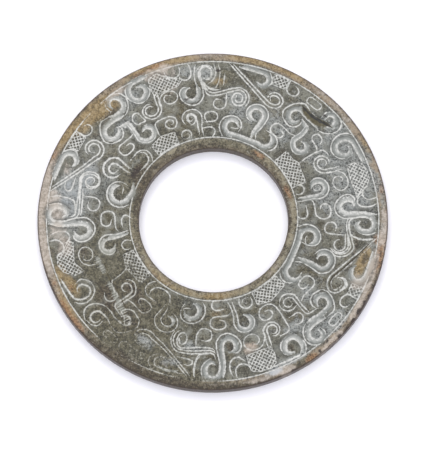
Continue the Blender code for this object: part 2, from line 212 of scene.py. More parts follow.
# Hatched panels, each in the four quarters: corners in degrees past the quarter's start and radius
HATCHES = (
    (
        ((16.4, 54.6), (22.4, 54.8), (22.4, 51.2), (16.6, 51)),
        ((18.6, 54.6), (23.2, 54.8), (23.2, 51), (18.9, 50.8)),
        ((16.8, 54.6), (22, 54.6), (22.2, 51.2), (17.2, 50.8)),
        ((14.8, 54.9), (21.4, 54.9), (21.2, 50.8), (15.2, 50.6)),
    ),
    (
        ((40.4, 34), (46.4, 33.7), (50.2, 34.6), (54.3, 33.8), (61.9, 33.4), (61.9, 28.6), (40.1, 28.8)),
        ((36.6, 32.8), (48.6, 34), (56.4, 32.9), (56.2, 28.6), (36.6, 28.6)),
        ((38.4, 32.4), (50.5, 33.2), (58.6, 32), (58.8, 28.4), (38.2, 28.4)),
        ((38.5, 32.5), (46.5, 33.4), (54.6, 32.6), (54.4, 28.6), (38.3, 28.4)),
    ),
    (
        (
            (61.6, 48.2), (61.7, 51), (62.9, 53.2), (65.9, 54), (69, 53.9), (71.2, 52.6), (73.4, 50.2),
            (75.6, 48.4), (67.5, 47.8),
        ),
        (
            (59.4, 47.4), (59.2, 50), (60, 53), (62, 54.1), (66.3, 54.1), (69.2, 53.2), (69.6, 50),
            (69.7, 47.8), (64.8, 47.3),
        ),
        (
            (58.2, 45.9), (58, 49.6), (60.8, 52.4), (64, 53.4), (67.4, 52.8), (68.6, 50.4), (72.4, 48.4),
            (71.2, 46.8), (63, 48),
        ),
        (
            (53, 46.4), (52.8, 49.8), (53.4, 53.2), (56.8, 54.2), (60.2, 52), (65.8, 49.8), (63.2, 47.6),
            (57, 47.3),
        ),
    ),
)

# The natural fissure by bearing and radius, and how far its hollow lies from it
SEAM = ((37.6, 49.4), (40.7, 48.9), (43.8, 48.9), (46.6, 49.4), (49.1, 50.2), (51.2, 50.9))
SEAM_HOLLOW = (0.6, -0.7)
# The pale line left beside the outer border, by bearing and radius
POOL_LINE = ((199.5, 52.9), (197, 53.7), (194.4, 53.3), (192.4, 52.7))

# The saw scar: its ends, what is left of it as shares of its length, the hook at its end, and its
# scratches: first, last and step along it, and how their lengths vary from one to the next
SAW_SCAR = ((250.5, 40.3), (216.5, 45.4))
SAW_MARKS = ((0, 0.06), (0.09, 0.2), (0.37, 0.48), (0.5, 0.6), (0.63, 0.77))
SAW_DARK_MARK = (0.22, 0.37)
SAW_WORN_END = (0.77, 0.97)
SAW_HOOK = ((224.5, 43.4), (220.8, 44.4), (218.5, 46), (216.9, 45.4), (216.8, 44))
SAW_DEPTH = 0.1
SCRATCHES = (0.02, 0.97, 0.033)
SCRATCH_SWAY = 2.4

# Chips in the top edge: bearing, length, reach inward, depth
RIM_CHIPS = (
    (99.5, 5.5, 0.9, 0.9), (110, 3.2, 0.6, 0.7), (117.5, 6.5, 1.1, 1.2), (124.5, 5, 0.8, 0.9),
    (137, 5.5, 1, 1.1), (237, 4, 0.5, 0.6),
)
# The waves that make a chip ragged: how much each adds, and how many go round the disc
RAGGED = ((0.22, 97), (0.15, 231))
# The most that a chip sinks, in its depths, and how quickly its broken look sets in
CHIP_LIMIT = 1.4
CHIP_LOOK_RISE = 4

# Worn areas, where less is left of a cut: bearing, radius, half length, half width, share lost
WORN = (
    (190, 55, 9, 1.4, 0.9), (118, 53, 4, 2.4, 0.45), (180, 55, 9, 1.2, 0.85), (218, 43, 20, 11, 0.2),
    (209, 51.5, 10, 4.5, 0.8), (213, 47, 7, 3, 0.6), (243, 38.5, 7, 5, 0.5), (216.5, 38, 4, 2, 0.6),
    (235, 31, 9, 3, 0.5), (306.5, 31.5, 8, 2.2, 0.6), (196, 50, 5, 4, 0.4), (287, 36, 5, 4, 0.3),
    (345, 41, 5, 3, 0.4), (106, 51, 4, 2.2, 0.5), (44, 36, 5, 3, 0.2), (358, 34, 6, 3, 0.25),
    (200, 38, 12, 7, 0.3), (314, 54.6, 9, 3, 0.95), (252, 45, 5, 4, 0.35), (41.5, 48.3, 3.2, 1, 0.9),
    (46, 48.3, 3.4, 1.2, 0.9), (49.5, 49, 2, 1, 0.9), (217, 54.8, 15, 1.6, 0.9), (206, 32.6, 6, 2.6, 0.8),
    (222.5, 50.5, 3, 3, 0.4),
)

# Stains of each kind: bearing, radius, half length, half width and strength
STAINS = {
    "golden": (
        (108.4, 51.2, 5, 2.1, 0.72), (103.8, 52.2, 3.2, 1.4, 0.75), (178, 33, 3.5, 3, 0.35),
        (309, 55, 9, 3, 0.9), (318, 53.5, 6, 3, 0.6), (300, 57, 7, 1.6, 0.6), (336, 56.4, 8, 1.6, 0.9),
        (2.5, 48, 3.6, 1.8, 0.5), (349, 56.8, 7, 1.2, 0.6), (12, 56.8, 9, 1.4, 0.7), (28, 56.8, 7, 1.2, 0.6),
        (250, 53, 3, 2, 0.7), (243, 51.3, 5, 2.2, 0.6), (62, 57, 8, 1.2, 0.35), (238, 56.4, 9, 1.6, 0.6),
        (318, 50.5, 6, 3, 0.35), (170, 26.6, 12, 1.6, 0.3), (220, 26.6, 18, 1.8, 0.5),
        (55, 26.4, 9, 1.4, 0.35), (300, 26.4, 8, 1.4, 0.3),
    ),
    "orange": (
        (164.2, 45.8, 2.6, 2, 0.7), (107, 55.6, 4.5, 0.9, 0.7), (103.5, 56.5, 5, 1.4, 0.9),
        (145.5, 57, 2.2, 1, 0.9), (98, 55, 2, 2, 0.6), (333, 56, 2.5, 1.2, 0.7), (238, 57, 4, 1, 0.9),
        (231, 57, 3.5, 1, 0.9), (247, 56.6, 2, 1, 0.6), (292, 57, 3, 1.2, 0.7), (243, 52.5, 2, 1.4, 0.4),
        (286, 56.6, 1.8, 1, 0.7), (340, 56.6, 3, 1, 0.8), (80, 56.8, 3, 1, 0.5), (35, 27, 3, 1, 0.6),
        (70, 26.6, 4, 1, 0.6), (160, 53, 1.5, 1, 0.4),
    ),
    "olive": (
        (176, 34, 7, 5, 0.6), (299, 31.5, 5, 4, 0.9), (226, 42, 24, 13, 0.8), (150, 57, 5, 1.6, 1),
        (41, 48.2, 2.6, 0.9, 1), (45.5, 48, 3, 1.1, 1), (49, 48.6, 1.8, 0.8, 0.9), (205, 50, 14, 6, 0.8),
        (222, 48, 12, 6, 0.9), (232, 38, 14, 7, 0.8), (196, 53, 10, 3, 0.7), (210, 34, 12, 4, 0.3),
        (252, 32, 8, 3, 0.3), (354, 45, 7, 4, 0.35), (313, 50, 8, 3.5, 0.8), (102.5, 46.5, 8, 2, 0.6),
        (252, 38, 6, 5, 0.6), (3, 50.5, 6, 2.4, 0.7), (1.5, 47.5, 4, 1.8, 0.7), (185, 57, 24, 2, 0.8),
        (300, 31, 9, 2.4, 0.8), (332, 34, 6, 4, 0.5), (345, 30.5, 6, 2, 0.6), (30, 31, 5, 2, 0.3),
        (288, 26.5, 20, 2, 0.6), (340, 47, 4, 2.5, 0.6), (20, 44, 5, 2, 0.4), (118, 34, 7, 3, 0.4),
        (72, 31, 8, 2, 0.5), (215, 57.2, 9, 1.4, 0.7), (195, 26.5, 14, 1.8, 0.25), (10, 26.5, 14, 1.8, 0.6),
        (78, 52, 4, 1.6, 0.4),
    ),
    "brown": (
        (172.6, 44, 1.3, 1.6, 0.9), (150.2, 50.7, 1.5, 1.3, 0.9), (106.4, 52, 3, 1.2, 0.4),
        (104, 51.8, 3, 1, 0.4), (178, 57.2, 14, 1.2, 0.7), (157, 58, 5, 0.6, 0.8), (302.5, 29.8, 2.2, 1.2, 1),
        (306, 26.5, 8, 1.6, 0.5), (205, 56.8, 22, 1.8, 0.6), (222, 42, 16, 8, 0.35), (150, 57.2, 4, 1, 0.4),
        (310, 48.5, 5, 1.6, 0.5), (117, 57.8, 12, 0.9, 0.8), (128, 57.9, 8, 0.8, 0.8), (169, 58, 9, 0.9, 0.8),
        (318, 49.5, 4, 1.8, 0.6), (200, 58, 22, 0.9, 0.9), (247, 57.9, 8, 0.7, 0.6), (272, 58, 12, 0.7, 0.6),
        (225, 58, 8, 0.8, 0.7), (233, 43, 4, 3, 0.5), (227, 36, 4, 2, 0.6), (209, 31, 4, 1, 0.3),
        (299, 28.4, 4, 1, 0.9), (303, 30.6, 5, 1.4, 0.5), (212, 55, 6, 1.6, 0.5), (309, 57.4, 5, 1, 0.6),
        (152, 26.4, 6, 1.2, 0.4), (70, 26.6, 6, 1.2, 0.35), (280, 25.6, 14, 0.9, 0.7),
        (340, 25.7, 14, 0.8, 0.6), (40, 25.7, 14, 0.8, 0.6), (90, 25.7, 12, 0.8, 0.6),
        (104, 48.2, 9, 0.7, 0.7), (230.5, 46, 3, 2, 0.4), (256, 44, 3, 2, 0.4), (189, 33.5, 3, 1.5, 0.4),
        (47, 33, 3, 1.6, 0.5),
    ),
    "cream": (
        (272.5, 51, 3.4, 3.2, 0.6), (278, 54, 3, 1.6, 0.5), (164.2, 45.8, 2.5, 2, 0.75),
        (114.5, 52.4, 3, 2.2, 0.6), (108, 54.6, 6, 1.2, 0.9), (156.5, 56, 4, 1, 0.9),
        (155.6, 57.4, 1.4, 1, 0.8), (266, 51.5, 3, 2.6, 0.9), (276, 53, 3, 2.6, 0.7), (259, 49, 3, 2, 0.5),
        (258, 56.5, 8, 1.4, 0.9), (276, 56.8, 12, 1.4, 0.9), (290, 52, 6, 2.6, 0.36),
        (324, 54.5, 6, 1.2, 0.7), (339, 53, 5, 2.4, 0.6), (121.3, 56.4, 3, 0.8, 1), (125, 56.6, 3, 0.9, 1),
        (136, 56.9, 4, 1.1, 1), (140.5, 57.6, 2.6, 0.9, 1), (154.5, 57.1, 2.6, 1.2, 1),
        (108, 55.9, 8, 0.8, 0.6), (115, 55.9, 6, 0.7, 0.7), (165, 56.6, 6, 0.9, 0.5), (97, 56.5, 3, 1.6, 0.8),
        (90, 57, 5, 1.2, 0.6), (243, 56.6, 6, 1.2, 0.35), (228, 26.3, 13, 1.5, 0.3),
        (130, 26.4, 4, 1.2, 0.35), (45, 56.7, 12, 1.2, 0.4), (285, 56.7, 10, 1.2, 0.45),
        (258, 50.5, 5, 3, 0.35), (116, 51.5, 3, 2.4, 0.3), (342, 55.2, 6, 1, 0.6), (0, 57.4, 7, 0.8, 0.4),
        (178, 56.2, 8, 0.6, 0.4), (345, 47, 4, 3, 0.3),
    ),
    "film": (
        (48, 42, 30, 13, 0.34), (286, 40, 18, 10, 0.2), (195, 50.2, 4.5, 1.8, 0.42), (204, 47, 2, 2, 0.2),
        (139, 48.8, 4, 2.6, 0.9), (132, 52.2, 5, 2.4, 0.9), (144.6, 45.3, 4, 2, 0.7),
        (130, 55.2, 6, 0.8, 0.7), (11.5, 42.7, 3.2, 2.6, 0.8), (357.5, 50.8, 4, 3, 0.7),
        (73, 36.3, 1.6, 1.6, 0.8), (208.7, 46.8, 3, 1.8, 0.48), (205.5, 48.8, 3.5, 1.8, 0.3),
        (158.5, 55.7, 3.6, 1.4, 1), (152, 54.6, 6, 1.2, 0.9), (70, 50, 14, 6, 0.8), (139, 53, 8, 2.4, 0.5),
        (80, 56.6, 6, 1.2, 0.5), (93, 56.4, 3, 1, 0.5), (274, 48, 12, 6, 0.6), (327, 50.5, 5, 3, 0.7),
        (90, 43, 7, 5, 0.5), (78, 38, 6, 4, 0.45), (282, 50.5, 8, 2.8, 0.6), (188, 44, 9, 3, 0.4),
        (351, 52.5, 4, 2.5, 0.6), (30, 38.5, 6, 3, 0.4), (160, 40, 8, 4, 0.4), (290, 44, 6, 3, 0.5),
        (318, 44, 7, 3, 0.5), (14, 38, 6, 3, 0.4), (128, 41, 6, 4, 0.5), (242, 46, 4, 3, 0.3),
        (120, 31.5, 7, 1.8, 0.4), (55, 52, 6, 2, 0.4), (172, 50.5, 5, 2, 0.3), (150, 37.5, 5, 3, 0.3),
        (307, 32, 4, 2, 0.3),
    ),
    "bright": (
        (286, 42, 32, 14, 0.65), (84, 47, 9, 8, 0.6), (20, 36, 14, 6, 0.4), (148, 48, 8, 6, 0.4),
        (158.5, 55.7, 3.2, 1.4, 0.9),
    ),
    "pits": (
        (302, 30.2, 2.8, 1.2, 0.7), (117.2, 57.9, 1.2, 0.7, 1), (120, 57.5, 1, 0.7, 1),
        (123.4, 57.4, 1.4, 0.8, 1), (127, 57.7, 1, 0.7, 1), (113.5, 58, 0.9, 0.5, 1),
        (134, 57.7, 0.9, 0.6, 1), (153, 57.8, 0.8, 0.6, 1), (142.2, 57, 0.7, 0.7, 0.9),
        (138, 55.9, 2, 0.3, 0.9), (131, 57.9, 1.2, 0.4, 0.9), (138, 58.2, 2.6, 0.4, 0.9),
        (2, 51.9, 0.9, 0.8, 0.7), (46.5, 51.9, 1, 0.7, 0.6), (348, 42.5, 1.2, 0.8, 0.6),
        (282, 31.5, 2, 0.4, 0.5), (213, 54, 1.6, 0.6, 0.5),
    ),
}


def on_face(bearing, radius):
    """The plan position of a bearing and a radius."""
    angle = math.radians(bearing)
    return (radius * math.sin(angle), radius * math.cos(angle))


class Quarter:
    """One quarter of the ring, which finds points near the motif's places."""

    def __init__(self, number):
        self.number = number
        self.start = QUARTER_STARTS[number]

    def pick(self, *choices):
        """This quarter's own choice of four."""
        return choices[self.number]

    def at(self, *places):
        """Points given as degrees past the quarter's start and radius."""
        return [on_face(self.start + degrees, radius) for degrees, radius in places]

    def near(self, place, *offsets):
        """Points at offsets (u, v) from a place."""
        degrees, radius = PLACES[place][self.number]
        return self.at(*((degrees + math.degrees(u / radius), radius + v) for u, v in offsets))

    def arc(self, place, first, last, start, end):
        """Points on a spiral arc about a place, from half axes first to last.

        Angles are in degrees, anticlockwise from the clockwise direction u.
        """
        count = max(2, math.ceil(abs(end - start) / ARC_STEP))
        offsets = []
        for step in range(count + 1):
            part = step / count
            angle = math.radians(start + (end - start) * part)
            half_u = first[0] + (last[0] - first[0]) * part
            half_v = first[1] + (last[1] - first[1]) * part
            offsets.append((half_u * math.cos(angle), half_v * math.sin(angle)))
        return self.near(place, *offsets)

    def arcs(self, place, start, end, *axes):
        """This quarter's own arc of four, each given by its first and its last half axes."""
        first_u, first_v, last_u, last_v = axes[self.number]
        return self.arc(place, (first_u, first_v), (last_u, last_v), start, end)


def smooth_path(points, step=PATH_STEP):
    """A Catmull-Rom curve through plan points, resampled at even steps."""
    p = np.array(points, dtype=float)
    ends = np.vstack([2 * p[0] - p[1], p, 2 * p[-1] - p[-2]])
    t = np.linspace(0, 1, CURVE_POINTS, endpoint=False)[:, None]
    pieces = []
    for a, b, c, d in zip(ends, ends[1:], ends[2:], ends[3:]):
        pieces.append(0.5 * (
            2 * b + (c - a) * t + (2 * a - 5 * b + 4 * c - d) * t ** 2
            + (3 * b - a - 3 * c + d) * t ** 3
        ))
    fine = np.vstack(pieces + [p[-1:]])
    run = np.concatenate([[0], np.cumsum(np.linalg.norm(np.diff(fine, axis=0), axis=1))])
    count = max(2, round(run[-1] / step))
    even = np.linspace(0, run[-1], count + 1)
    return np.column_stack([np.interp(even, run, fine[:, 0]), np.interp(even, run, fine[:, 1])])


# What a cut gives the face: its depth, pale matter, painted shade beside it, pale film round it and dark
# matter, whose greatest value counts; then how far out on a slope and how far along the fullest cut
CUT_VALUES = ("cut", "fill", "strip", "halo", "dark", "slope", "run")
DEPTH, FILL, WORN_VALUES, GREATEST = 0, 1, slice(1, 4), 5


class Cut:
    """A groove along a path.

    left and right are its widths each side of its deepest line, and depth is its depth there. fill
    says how much pale matter it holds, and dark how much dark matter, which along the saw scar's edges
    is painted shade. strip says how much painted shade lies on the stone just beyond its lips. tip is
    its size at both ends. Wear doesn't touch a lasting cut, whose matter takes the grey tones that paint
    shade down a broad cut's slope.
    """

    def __init__(
        self, points, left, right, depth, fill=1.0, dark=0.0, tip=TIP_SCALE, step=PATH_STEP,
        lasting=0.0, strip=0.0,
    ):
        self.path = smooth_path(points, step)
        self.left, self.right, self.depth = left, right, depth
        self.fill, self.dark, self.strip, self.lasting = fill, dark, strip, lasting
        steps = np.linalg.norm(np.diff(self.path, axis=0), axis=1)
        self.run = np.concatenate([[0], np.cumsum(steps)])
        near_tip = np.minimum(self.run, self.run[-1] - self.run) / TIP_LENGTH
        self.scale = tip + (1 - tip) * np.minimum(near_tip, 1)

    def ribs(self):
        """Rows of points along the cut: its deepest line, its lips and the middle of a broad side."""
        along = np.gradient(self.path, axis=0)
        along /= np.linalg.norm(along, axis=1)[:, None]
        leftward = np.column_stack([-along[:, 1], along[:, 0]])
        offsets = [-self.right, 0.0, self.left]
        offsets += [edge / 2 for edge in (-self.right, self.left) if abs(edge) == BAND_SLOPE]
        return [self.path + leftward * (self.scale * offset)[:, None] for offset in sorted(offsets)]

    def measure(self, points):
        """At plan points: a column for each of CUT_VALUES."""
        starts, spans = self.path[:-1], np.diff(self.path, axis=0)
        offset = points[:, None, :] - starts[None, :, :]
        part = np.clip((offset * spans[None]).sum(2) / (spans ** 2).sum(1)[None], 0, 1)
        away = offset - spans[None] * part[..., None]
        distance = np.linalg.norm(away, axis=2)
        nearest = distance.argmin(1)
        rows = np.arange(len(points))
        gap, part, away = distance[rows, nearest], part[rows, nearest], away[rows, nearest]
        span = spans[nearest]
        scale = self.scale[nearest] * (1 - part) + self.scale[nearest + 1] * part
        leftward = span[:, 0] * away[:, 1] - span[:, 1] * away[:, 0] > 0
        side = np.where(leftward, self.left, self.right)
        within = np.clip(1 - gap / (side * scale), 0, 1)
        broad = side == BAND_SLOPE
        fill = np.clip(within * np.where(broad, BAND_FILL_RISE, LINE_FILL_RISE), 0, 1)
        slope = np.where(broad, 1 - within, self.lasting)
        beyond = np.maximum(gap - side * scale, 0)
        # Painted shade on the stone beyond the lips, full for one width and gone at two
        strip = np.clip(2 - beyond / GROOVE_SHADE_WIDTH, 0, 1) * scale * (beyond > 0) * self.strip
        halo = np.exp(-(beyond / HALO_WIDTH) ** 2) * scale * self.fill * (self.depth > HATCH_DEPTH)
        along = self.run[nearest] + part * (self.run[nearest + 1] - self.run[nearest])
        return np.column_stack([
            within * self.depth * scale, fill * self.fill, strip, halo, fill * self.dark, slope, along,
        ])


def line(points, fill=1.0, half=LINE_HALF, depth=LINE_DEPTH, dark=0.0):
    """An incised line, as wide on both sides."""
    return Cut(points, half, half, depth, fill, dark)


def band(points, wall):
    """A broad slanting cut, its steep wall on the left (wall 1) or the right (wall -1)."""
    left, right = (BAND_WALL, BAND_SLOPE) if wall > 0 else (BAND_SLOPE, BAND_WALL)
    return Cut(points, left, right, BAND_DEPTH, strip=1.0)


def slim(points, wall):
    """What is left of a band whose slope is worn away, whichever side its wall was."""
    return line(points, 0.95, half=SLIM_HALF)


def base_figure(q):
    """The long base with a curled head, lying along the inner border."""
    body = q.arcs(
        "base", 25, 260,
        (1.7, 1.7, 2, 2.2), (2.1, 2.1, 2.3, 2.3), (2, 2, 2.3, 2.3), (2.5, 2.4, 2.8, 2.6),
    )
    if q.number < 2:
        body += q.near("base", (3, -2.3)) + q.near("base_end", (-2, -q.pick(2.3, 2.2)))
        body += q.arcs("base_end", -90, 75, (2.3, 2.3, 1.6, 2), (2.5, 2.1, 2.3, 2.6))
        cuts = []
    elif q.number == 2:
        hook = q.at(
            (30.1, 33.1), (30.7, 31.6), (29.1, 29.9), (25.4, 29.1), (20.3, 29.5), (18, 31.2), (17.6, 33),
        )
        cuts = [line(hook)]
    else:
        body += q.at((6, 28.7), (11.2, 29))
        hook = q.at((31, 33.3), (32.6, 32.2), (32.7, 30.9), (31.1, 29.4), (27.4, 28.9), (22.3, 29.2))
        cuts = [slim(hook, 1)]
    outline = q.arcs(
        "base", -20, 225,
        (2.7, 3, 4.6, 4.6), (2.4, 3.7, 4.7, 4.8), (3, 4, 5, 4.6), (3.6, 4, 5.1, 4.9),
    )
    low = q.pick(-0.4, -0.5, -0.5, -0.6)
    body = [tuple(place) for place in np.array(body) * q.pick(1, 1.008, 1, 1)]
    cuts.append(band(body, 1))
    lip = q.near("base", (2.5, low + 0.5), (1.5, low), (0.2, low - 0.1))
    rise, reach = q.pick(0.1, 0, -0.4, -0.2), q.pick(0, 0.4, 0.1, 0)
    end = q.near("base_end", (-1.2, 2.6 + rise))
    end += q.arc("base_end", (3.6 + reach, 2.9 + rise), (4.9 + reach, 4.1), 65, -50)
    return cuts + [line(outline), line(lip), line(end)]


def crest_figure(q):
    """The question mark that stands on the base."""
    body = q.arcs(
        "crest", -95, -360,
        (1.7, 1.8, 2.2, 2), (1.7, 1.8, 2.5, 2.2), (1.3, 1.4, 2.3, 1.9), (1.6, 1.4, 1.9, 1.6),
    )
    body += q.near("crest", (q.pick(1.8, 2.1, 1.9, 1.5), -3)) + q.near("crest_foot", (-0.1, 1.5), (0.1, 0))
    outline = q.arcs(
        "crest", -110, -360,
        (3.2, 3, 4, 4.1), (3.4, 3.3, 4.6, 4.5), (3.1, 3, 4.3, 4.3), (3.1, 2.9, 3.8, 3.8),
    )
    outline += q.near("crest", (q.pick(3.7, 4, 3.6, 3.2), -3))
    outline += q.near("crest_foot", (q.pick(1.3, 1.2, 0.9, 1.3), 1.6), (q.pick(2, 1.9, 1.7, 1.5), -0.4))
    if q.number == 2:
        return [band(body[:8], -1), line(body[7:], half=0.3), line(outline, half=0.27)]
    return [q.pick(band, band, band, slim)(body, -1), line(outline, half=q.pick(0.32, 0.32, 0.27, 0.5))]


def shaft_figure(q):
    """The double diagonal line that ends in a spiral."""
    lower = q.near("shaft_top", (-0.5, 0.2)) + q.near("shaft_mid", (0, q.pick(-0.4, -0.4, -0.7, -0.3)))
    lower += q.arcs(
        "shaft_eye", -135, 165,
        (4, 3.1, 2.2, 2.3), (4.4, 3.3, 2.4, 2.4), (4.4, 3.3, 2.3, 2.2), (4.1, 3.9, 2.3, 2.4),
    )
    upper = q.near("shaft_top", (0.9, 0)) + q.near("shaft_mid", (0.5, q.pick(0.6, 0.8, 0.2, 0.6)))
    upper += q.arcs(
        "shaft_eye", -140, 215,
        (2.8, 1.8, 1.2, 1.2), (3.1, 1.9, 1.5, 1.4), (2.9, 1.8, 1.2, 1.2), (2.8, 2.5, 1.1, 1.2),
    )
    if q.number == 1:
        crescent = q.at((19, 46.1), (18.5, 47.8), (19.9, 49.4), (21.7, 49.4), (23.4, 48.3))
        return [line(lower), line(upper, fill=0.45), band_stain(q), slim(crescent, 1)]
    return [line(lower), line(upper)]


def band_stain(q):
    """The brown earth held between the shaft's two lines."""
    course = q.near("shaft_top", (1.2, -1.6)) + q.near("shaft_mid", (0.4, 0.2))
    course += q.arc("shaft_eye", (3.6, 2.6), (2.4, 1.9), -135, -10)
    return Cut(course, 0.34, 0.34, 0.12, fill=0, dark=0.9)


def border_hook_figure(q):
    """The hook that hangs from the outer border, with its outline."""
    top = q.pick(2.2, 2.2, 1.7, 2.2)
    body = q.near("hook", (-7.4, top + 0.1), (-3.5, top - 0.1))
    body += q.arcs(
        "hook", 90, -120,
        (2.3, 2, 1.6, 1.5), (2.5, 2, 2.3, 2.2), (2.2, 1.7, 2.1, 2), (2.4, 2, 2.2, 1.9),
    )
    outline = q.near("hook", (q.pick(2, 1.3, 1.5, 2), 3.3))
    outline += q.arcs(
        "hook", 40, -65,
        (3.8, 3.1, 3.3, 2.8), (3.9, 2.8, 3.6, 2.6), (4.1, 3, 3.7, 2.8), (4.5, 3.1, 4, 2.8),
    )
    return [q.pick(band, band, slim, band)(body, -1), line(outline)]


def ring_figures(q):
    """The small open ring and the rounded slot beside it."""
    ring = q.near("ring", (-2.4, 2.4))
    ring += q.arc("ring", (q.pick(2.4, 2.7, 2.4, 2.3), 1.9), (1.8, 1.6), 165, 440)
    half, tall = q.pick(2.6, 2.5, 2.5, 2.9), q.pick(1.2, 1.1, 1.1, 1.4)
    rounded = (
        (0, 1), (0.7, 1), (1, 0.45), (1, -0.45), (0.7, -1), (-0.7, -1), (-1, -0.45), (-1, 0.45),
        (-0.7, 1), (0, 1),
    )
    slot = q.near("slot", *((half * u, tall * v) for u, v in rounded))
    return [line(ring), line(slot, fill=q.pick(0.75, 0.9, 0.6, 0.3))]


def great_scroll_figure(q):
    """The great S: two curled heads joined by a sloping body, with outlines."""
    body = q.near("scroll_out", (-0.4, -4.9), (q.pick(-3.2, -3, -2, -1.8), -4.9))
    body += q.near("scroll_in", (q.pick(4, 3.9, 3.2, 3.2), q.pick(1.7, 1.7, 1.8, 1.9)))
    body += q.arcs(
        "scroll_in", 75, 340,
        (1.8, 2.2, 1.9, 1.7), (1.8, 2.1, 1.7, 1.5), (1.4, 1.9, 1.5, 1.3), (2, 2.2, 2.2, 1.9),
    )
    head = q.near("scroll_in", (q.pick(3.6, 3.6, 3.2, 3.2), 4.3)) + q.near("scroll_out", (-2.4, -2.5))
    head += q.arcs(
        "scroll_out", -80, 190,
        (2.3, 2.5, 1, 1.4), (2, 2.3, 1.5, 1.6), (2.1, 2.4, 1.5, 1.4), (2.4, 2.6, 1.3, 1.5),
    )
    upper = q.near("scroll_in", (-3.6, -2.6))
    upper += q.arcs(
        "scroll_in", 190, 85,
        (4.5, 4.2, 2.8, 5.3), (4, 4, 2.2, 4.8), (4.4, 4, 2.4, 5.1), (4.4, 4, 2.4, 5),
    )
    upper += q.near("scroll_in", (2.4, q.pick(4.6, 4.4, 4.7, 4.4)))
    floor_v = q.pick(-4.1, -4, -3.8, -4.1)
    lower = q.near(
        "scroll_in", (-3.6, -2.6), (-1.8, floor_v + 0.5), (0.1, floor_v), (1.9, floor_v + 0.6), (3, -1.9),
        (2.9, -0.2),
    )
    right = q.near("scroll_out", (1.4, 3.4))
    right += q.arcs(
        "scroll_out", 45, -85,
        (4.5, 3.9, 5.2, 5), (3.8, 3.4, 4.5, 4.9), (4.5, 3.5, 5.3, 4.9), (4.3, 3.9, 4.6, 5),
    )
    left_u, left_v = q.pick(-2.4, -2.6, -2.3, -2.7), q.pick(3, 3, 2.7, 3.5)
    left = q.near("scroll_out", (1.4, left_v + 0.3), (-0.8, left_v), (left_u, left_v / 2), (left_u, -0.8))
    broad = q.pick(band, band, slim, band)
    return [broad(body, 1), broad(head, 1), line(upper), line(lower), line(right), line(left)]


def stem_figure(q):
    """The doubled stem with a curled foot below the great S."""
    near_left = q.pick(0, 0.6, 0.35, 0)
    left = q.near("stem_top", (near_left - 0.6, 0)) + q.near("stem_eye", (near_left - 3.3, 3.2))
    first_v, last_v = q.pick(3.2, 3.1, 3.1, 3.5), q.pick(3.2, 3, 3.1, 3.2)
    left += q.arc("stem_eye", (3.9 - near_left, first_v), (2.9, last_v), 180, 325)
    near_right = q.pick(0, 0.3, 0.15, -0.3)
    right = q.near("stem_top", (-2.8, 1.1), (-1.2, 0.7), (0.3, 0.3), (near_right + 0.8, -0.8))
    right += q.near("stem_eye", (near_right - 2.1, 3.1))
    right += q.arc("stem_eye", (2.4 - near_right, q.pick(1.8, 1.8, 1.8, 2.3)), (1.2, 1.3), 180, 480)
    doubled = q.pick(band(right, 1), line(right, half=0.27), line(right, half=0.42), band(right, 1))
    cuts = [line(left), doubled]
    if q.number == 1:
        cuts.append(line(q.arc("stem_eye", (3.2, 2.8), (2.2, 2.6), -30, 110)))
    return cuts


def comma_figure(q):
    """The comma between the great S and the base."""
    low = q.pick(-1.9, -2.1, -1.6, -1.8)
    comma = q.near(
        "comma", (5.4, 2.5), (3.8, 1.9), (1.4, 2.1), (-0.9, 2.4), (-2.3, 1.4), (-2.6, -0.5),
        (-1.6, low + 0.3), (0.4, low), (1.9, low + 0.3), (2.4, -0.4), (1.8, 0.5), (0.5, 0.8),
    )
    return [line(comma)]


def curl_figure(q):
    """The small open curl beside the stem."""
    tall = q.pick(0.8, 1, 1.15, 1.15)
    places = [
        (2.1, 1), (1, 1.7), (-0.4, 1.8), (-1.6, 0.9), (-1.8, -0.4), (-1.1, -1.5), (0.2, -1.6), (1.8, -1.8),
    ]
    if q.number == 0:
        loop = (
            (50.1, 41.9), (47.9, 42.6), (44.8, 42.9), (43.5, 43.7), (43.5, 44.9), (44.6, 45.9),
            (46.3, 45.8), (47.6, 45.3), (48.2, 44.1),
        )
        return [line(q.at(*loop))]
    if q.number == 3:
        places = [(1.4, 1.2), (0.9, 1.6), *places[2:], (1.5, -0.6), (1.3, 0.6), (0.9, 1.2)]
    return [line(q.near("curl", *((u, v * tall) for u, v in places)))]


def bracket_figure(q):
    """The corner piece between the stem and the coil, which each quarter draws its own way."""
    corner = q.pick(
        ((54.4, 44.4), (52.6, 44.2), (51.1, 43.6), (50.4, 42), (50, 38.5), (50.2, 34.8)),
        (
            (53.5, 45.6), (50.6, 45.7), (49.1, 44.6), (48.7, 41.7), (48.4, 38.3), (49, 35.6), (51.6, 34.3),
            (55.7, 34.4), (58.1, 36), (57.9, 37.9), (56.2, 38.8), (53.5, 38.7), (51.7, 37.7), (52.2, 36.3),
            (54.8, 36),
        ),
        ((43, 41), (45.6, 40.2), (48.1, 39.7), (48.6, 38), (49.2, 35), (51.2, 32.2)),
        (
            (46, 33.2), (46.4, 36), (47.2, 38), (49.2, 38.5), (53, 38.5), (56.1, 38.2), (58, 36.9),
            (57.7, 35.2), (56, 34.1), (53.3, 34.3), (51.6, 35.6), (52.3, 36.9), (54.6, 37.3), (56.2, 36.7),
            (56, 35.6), (54.6, 35.5),
        ),
    )
    return [line(q.at(*corner))]


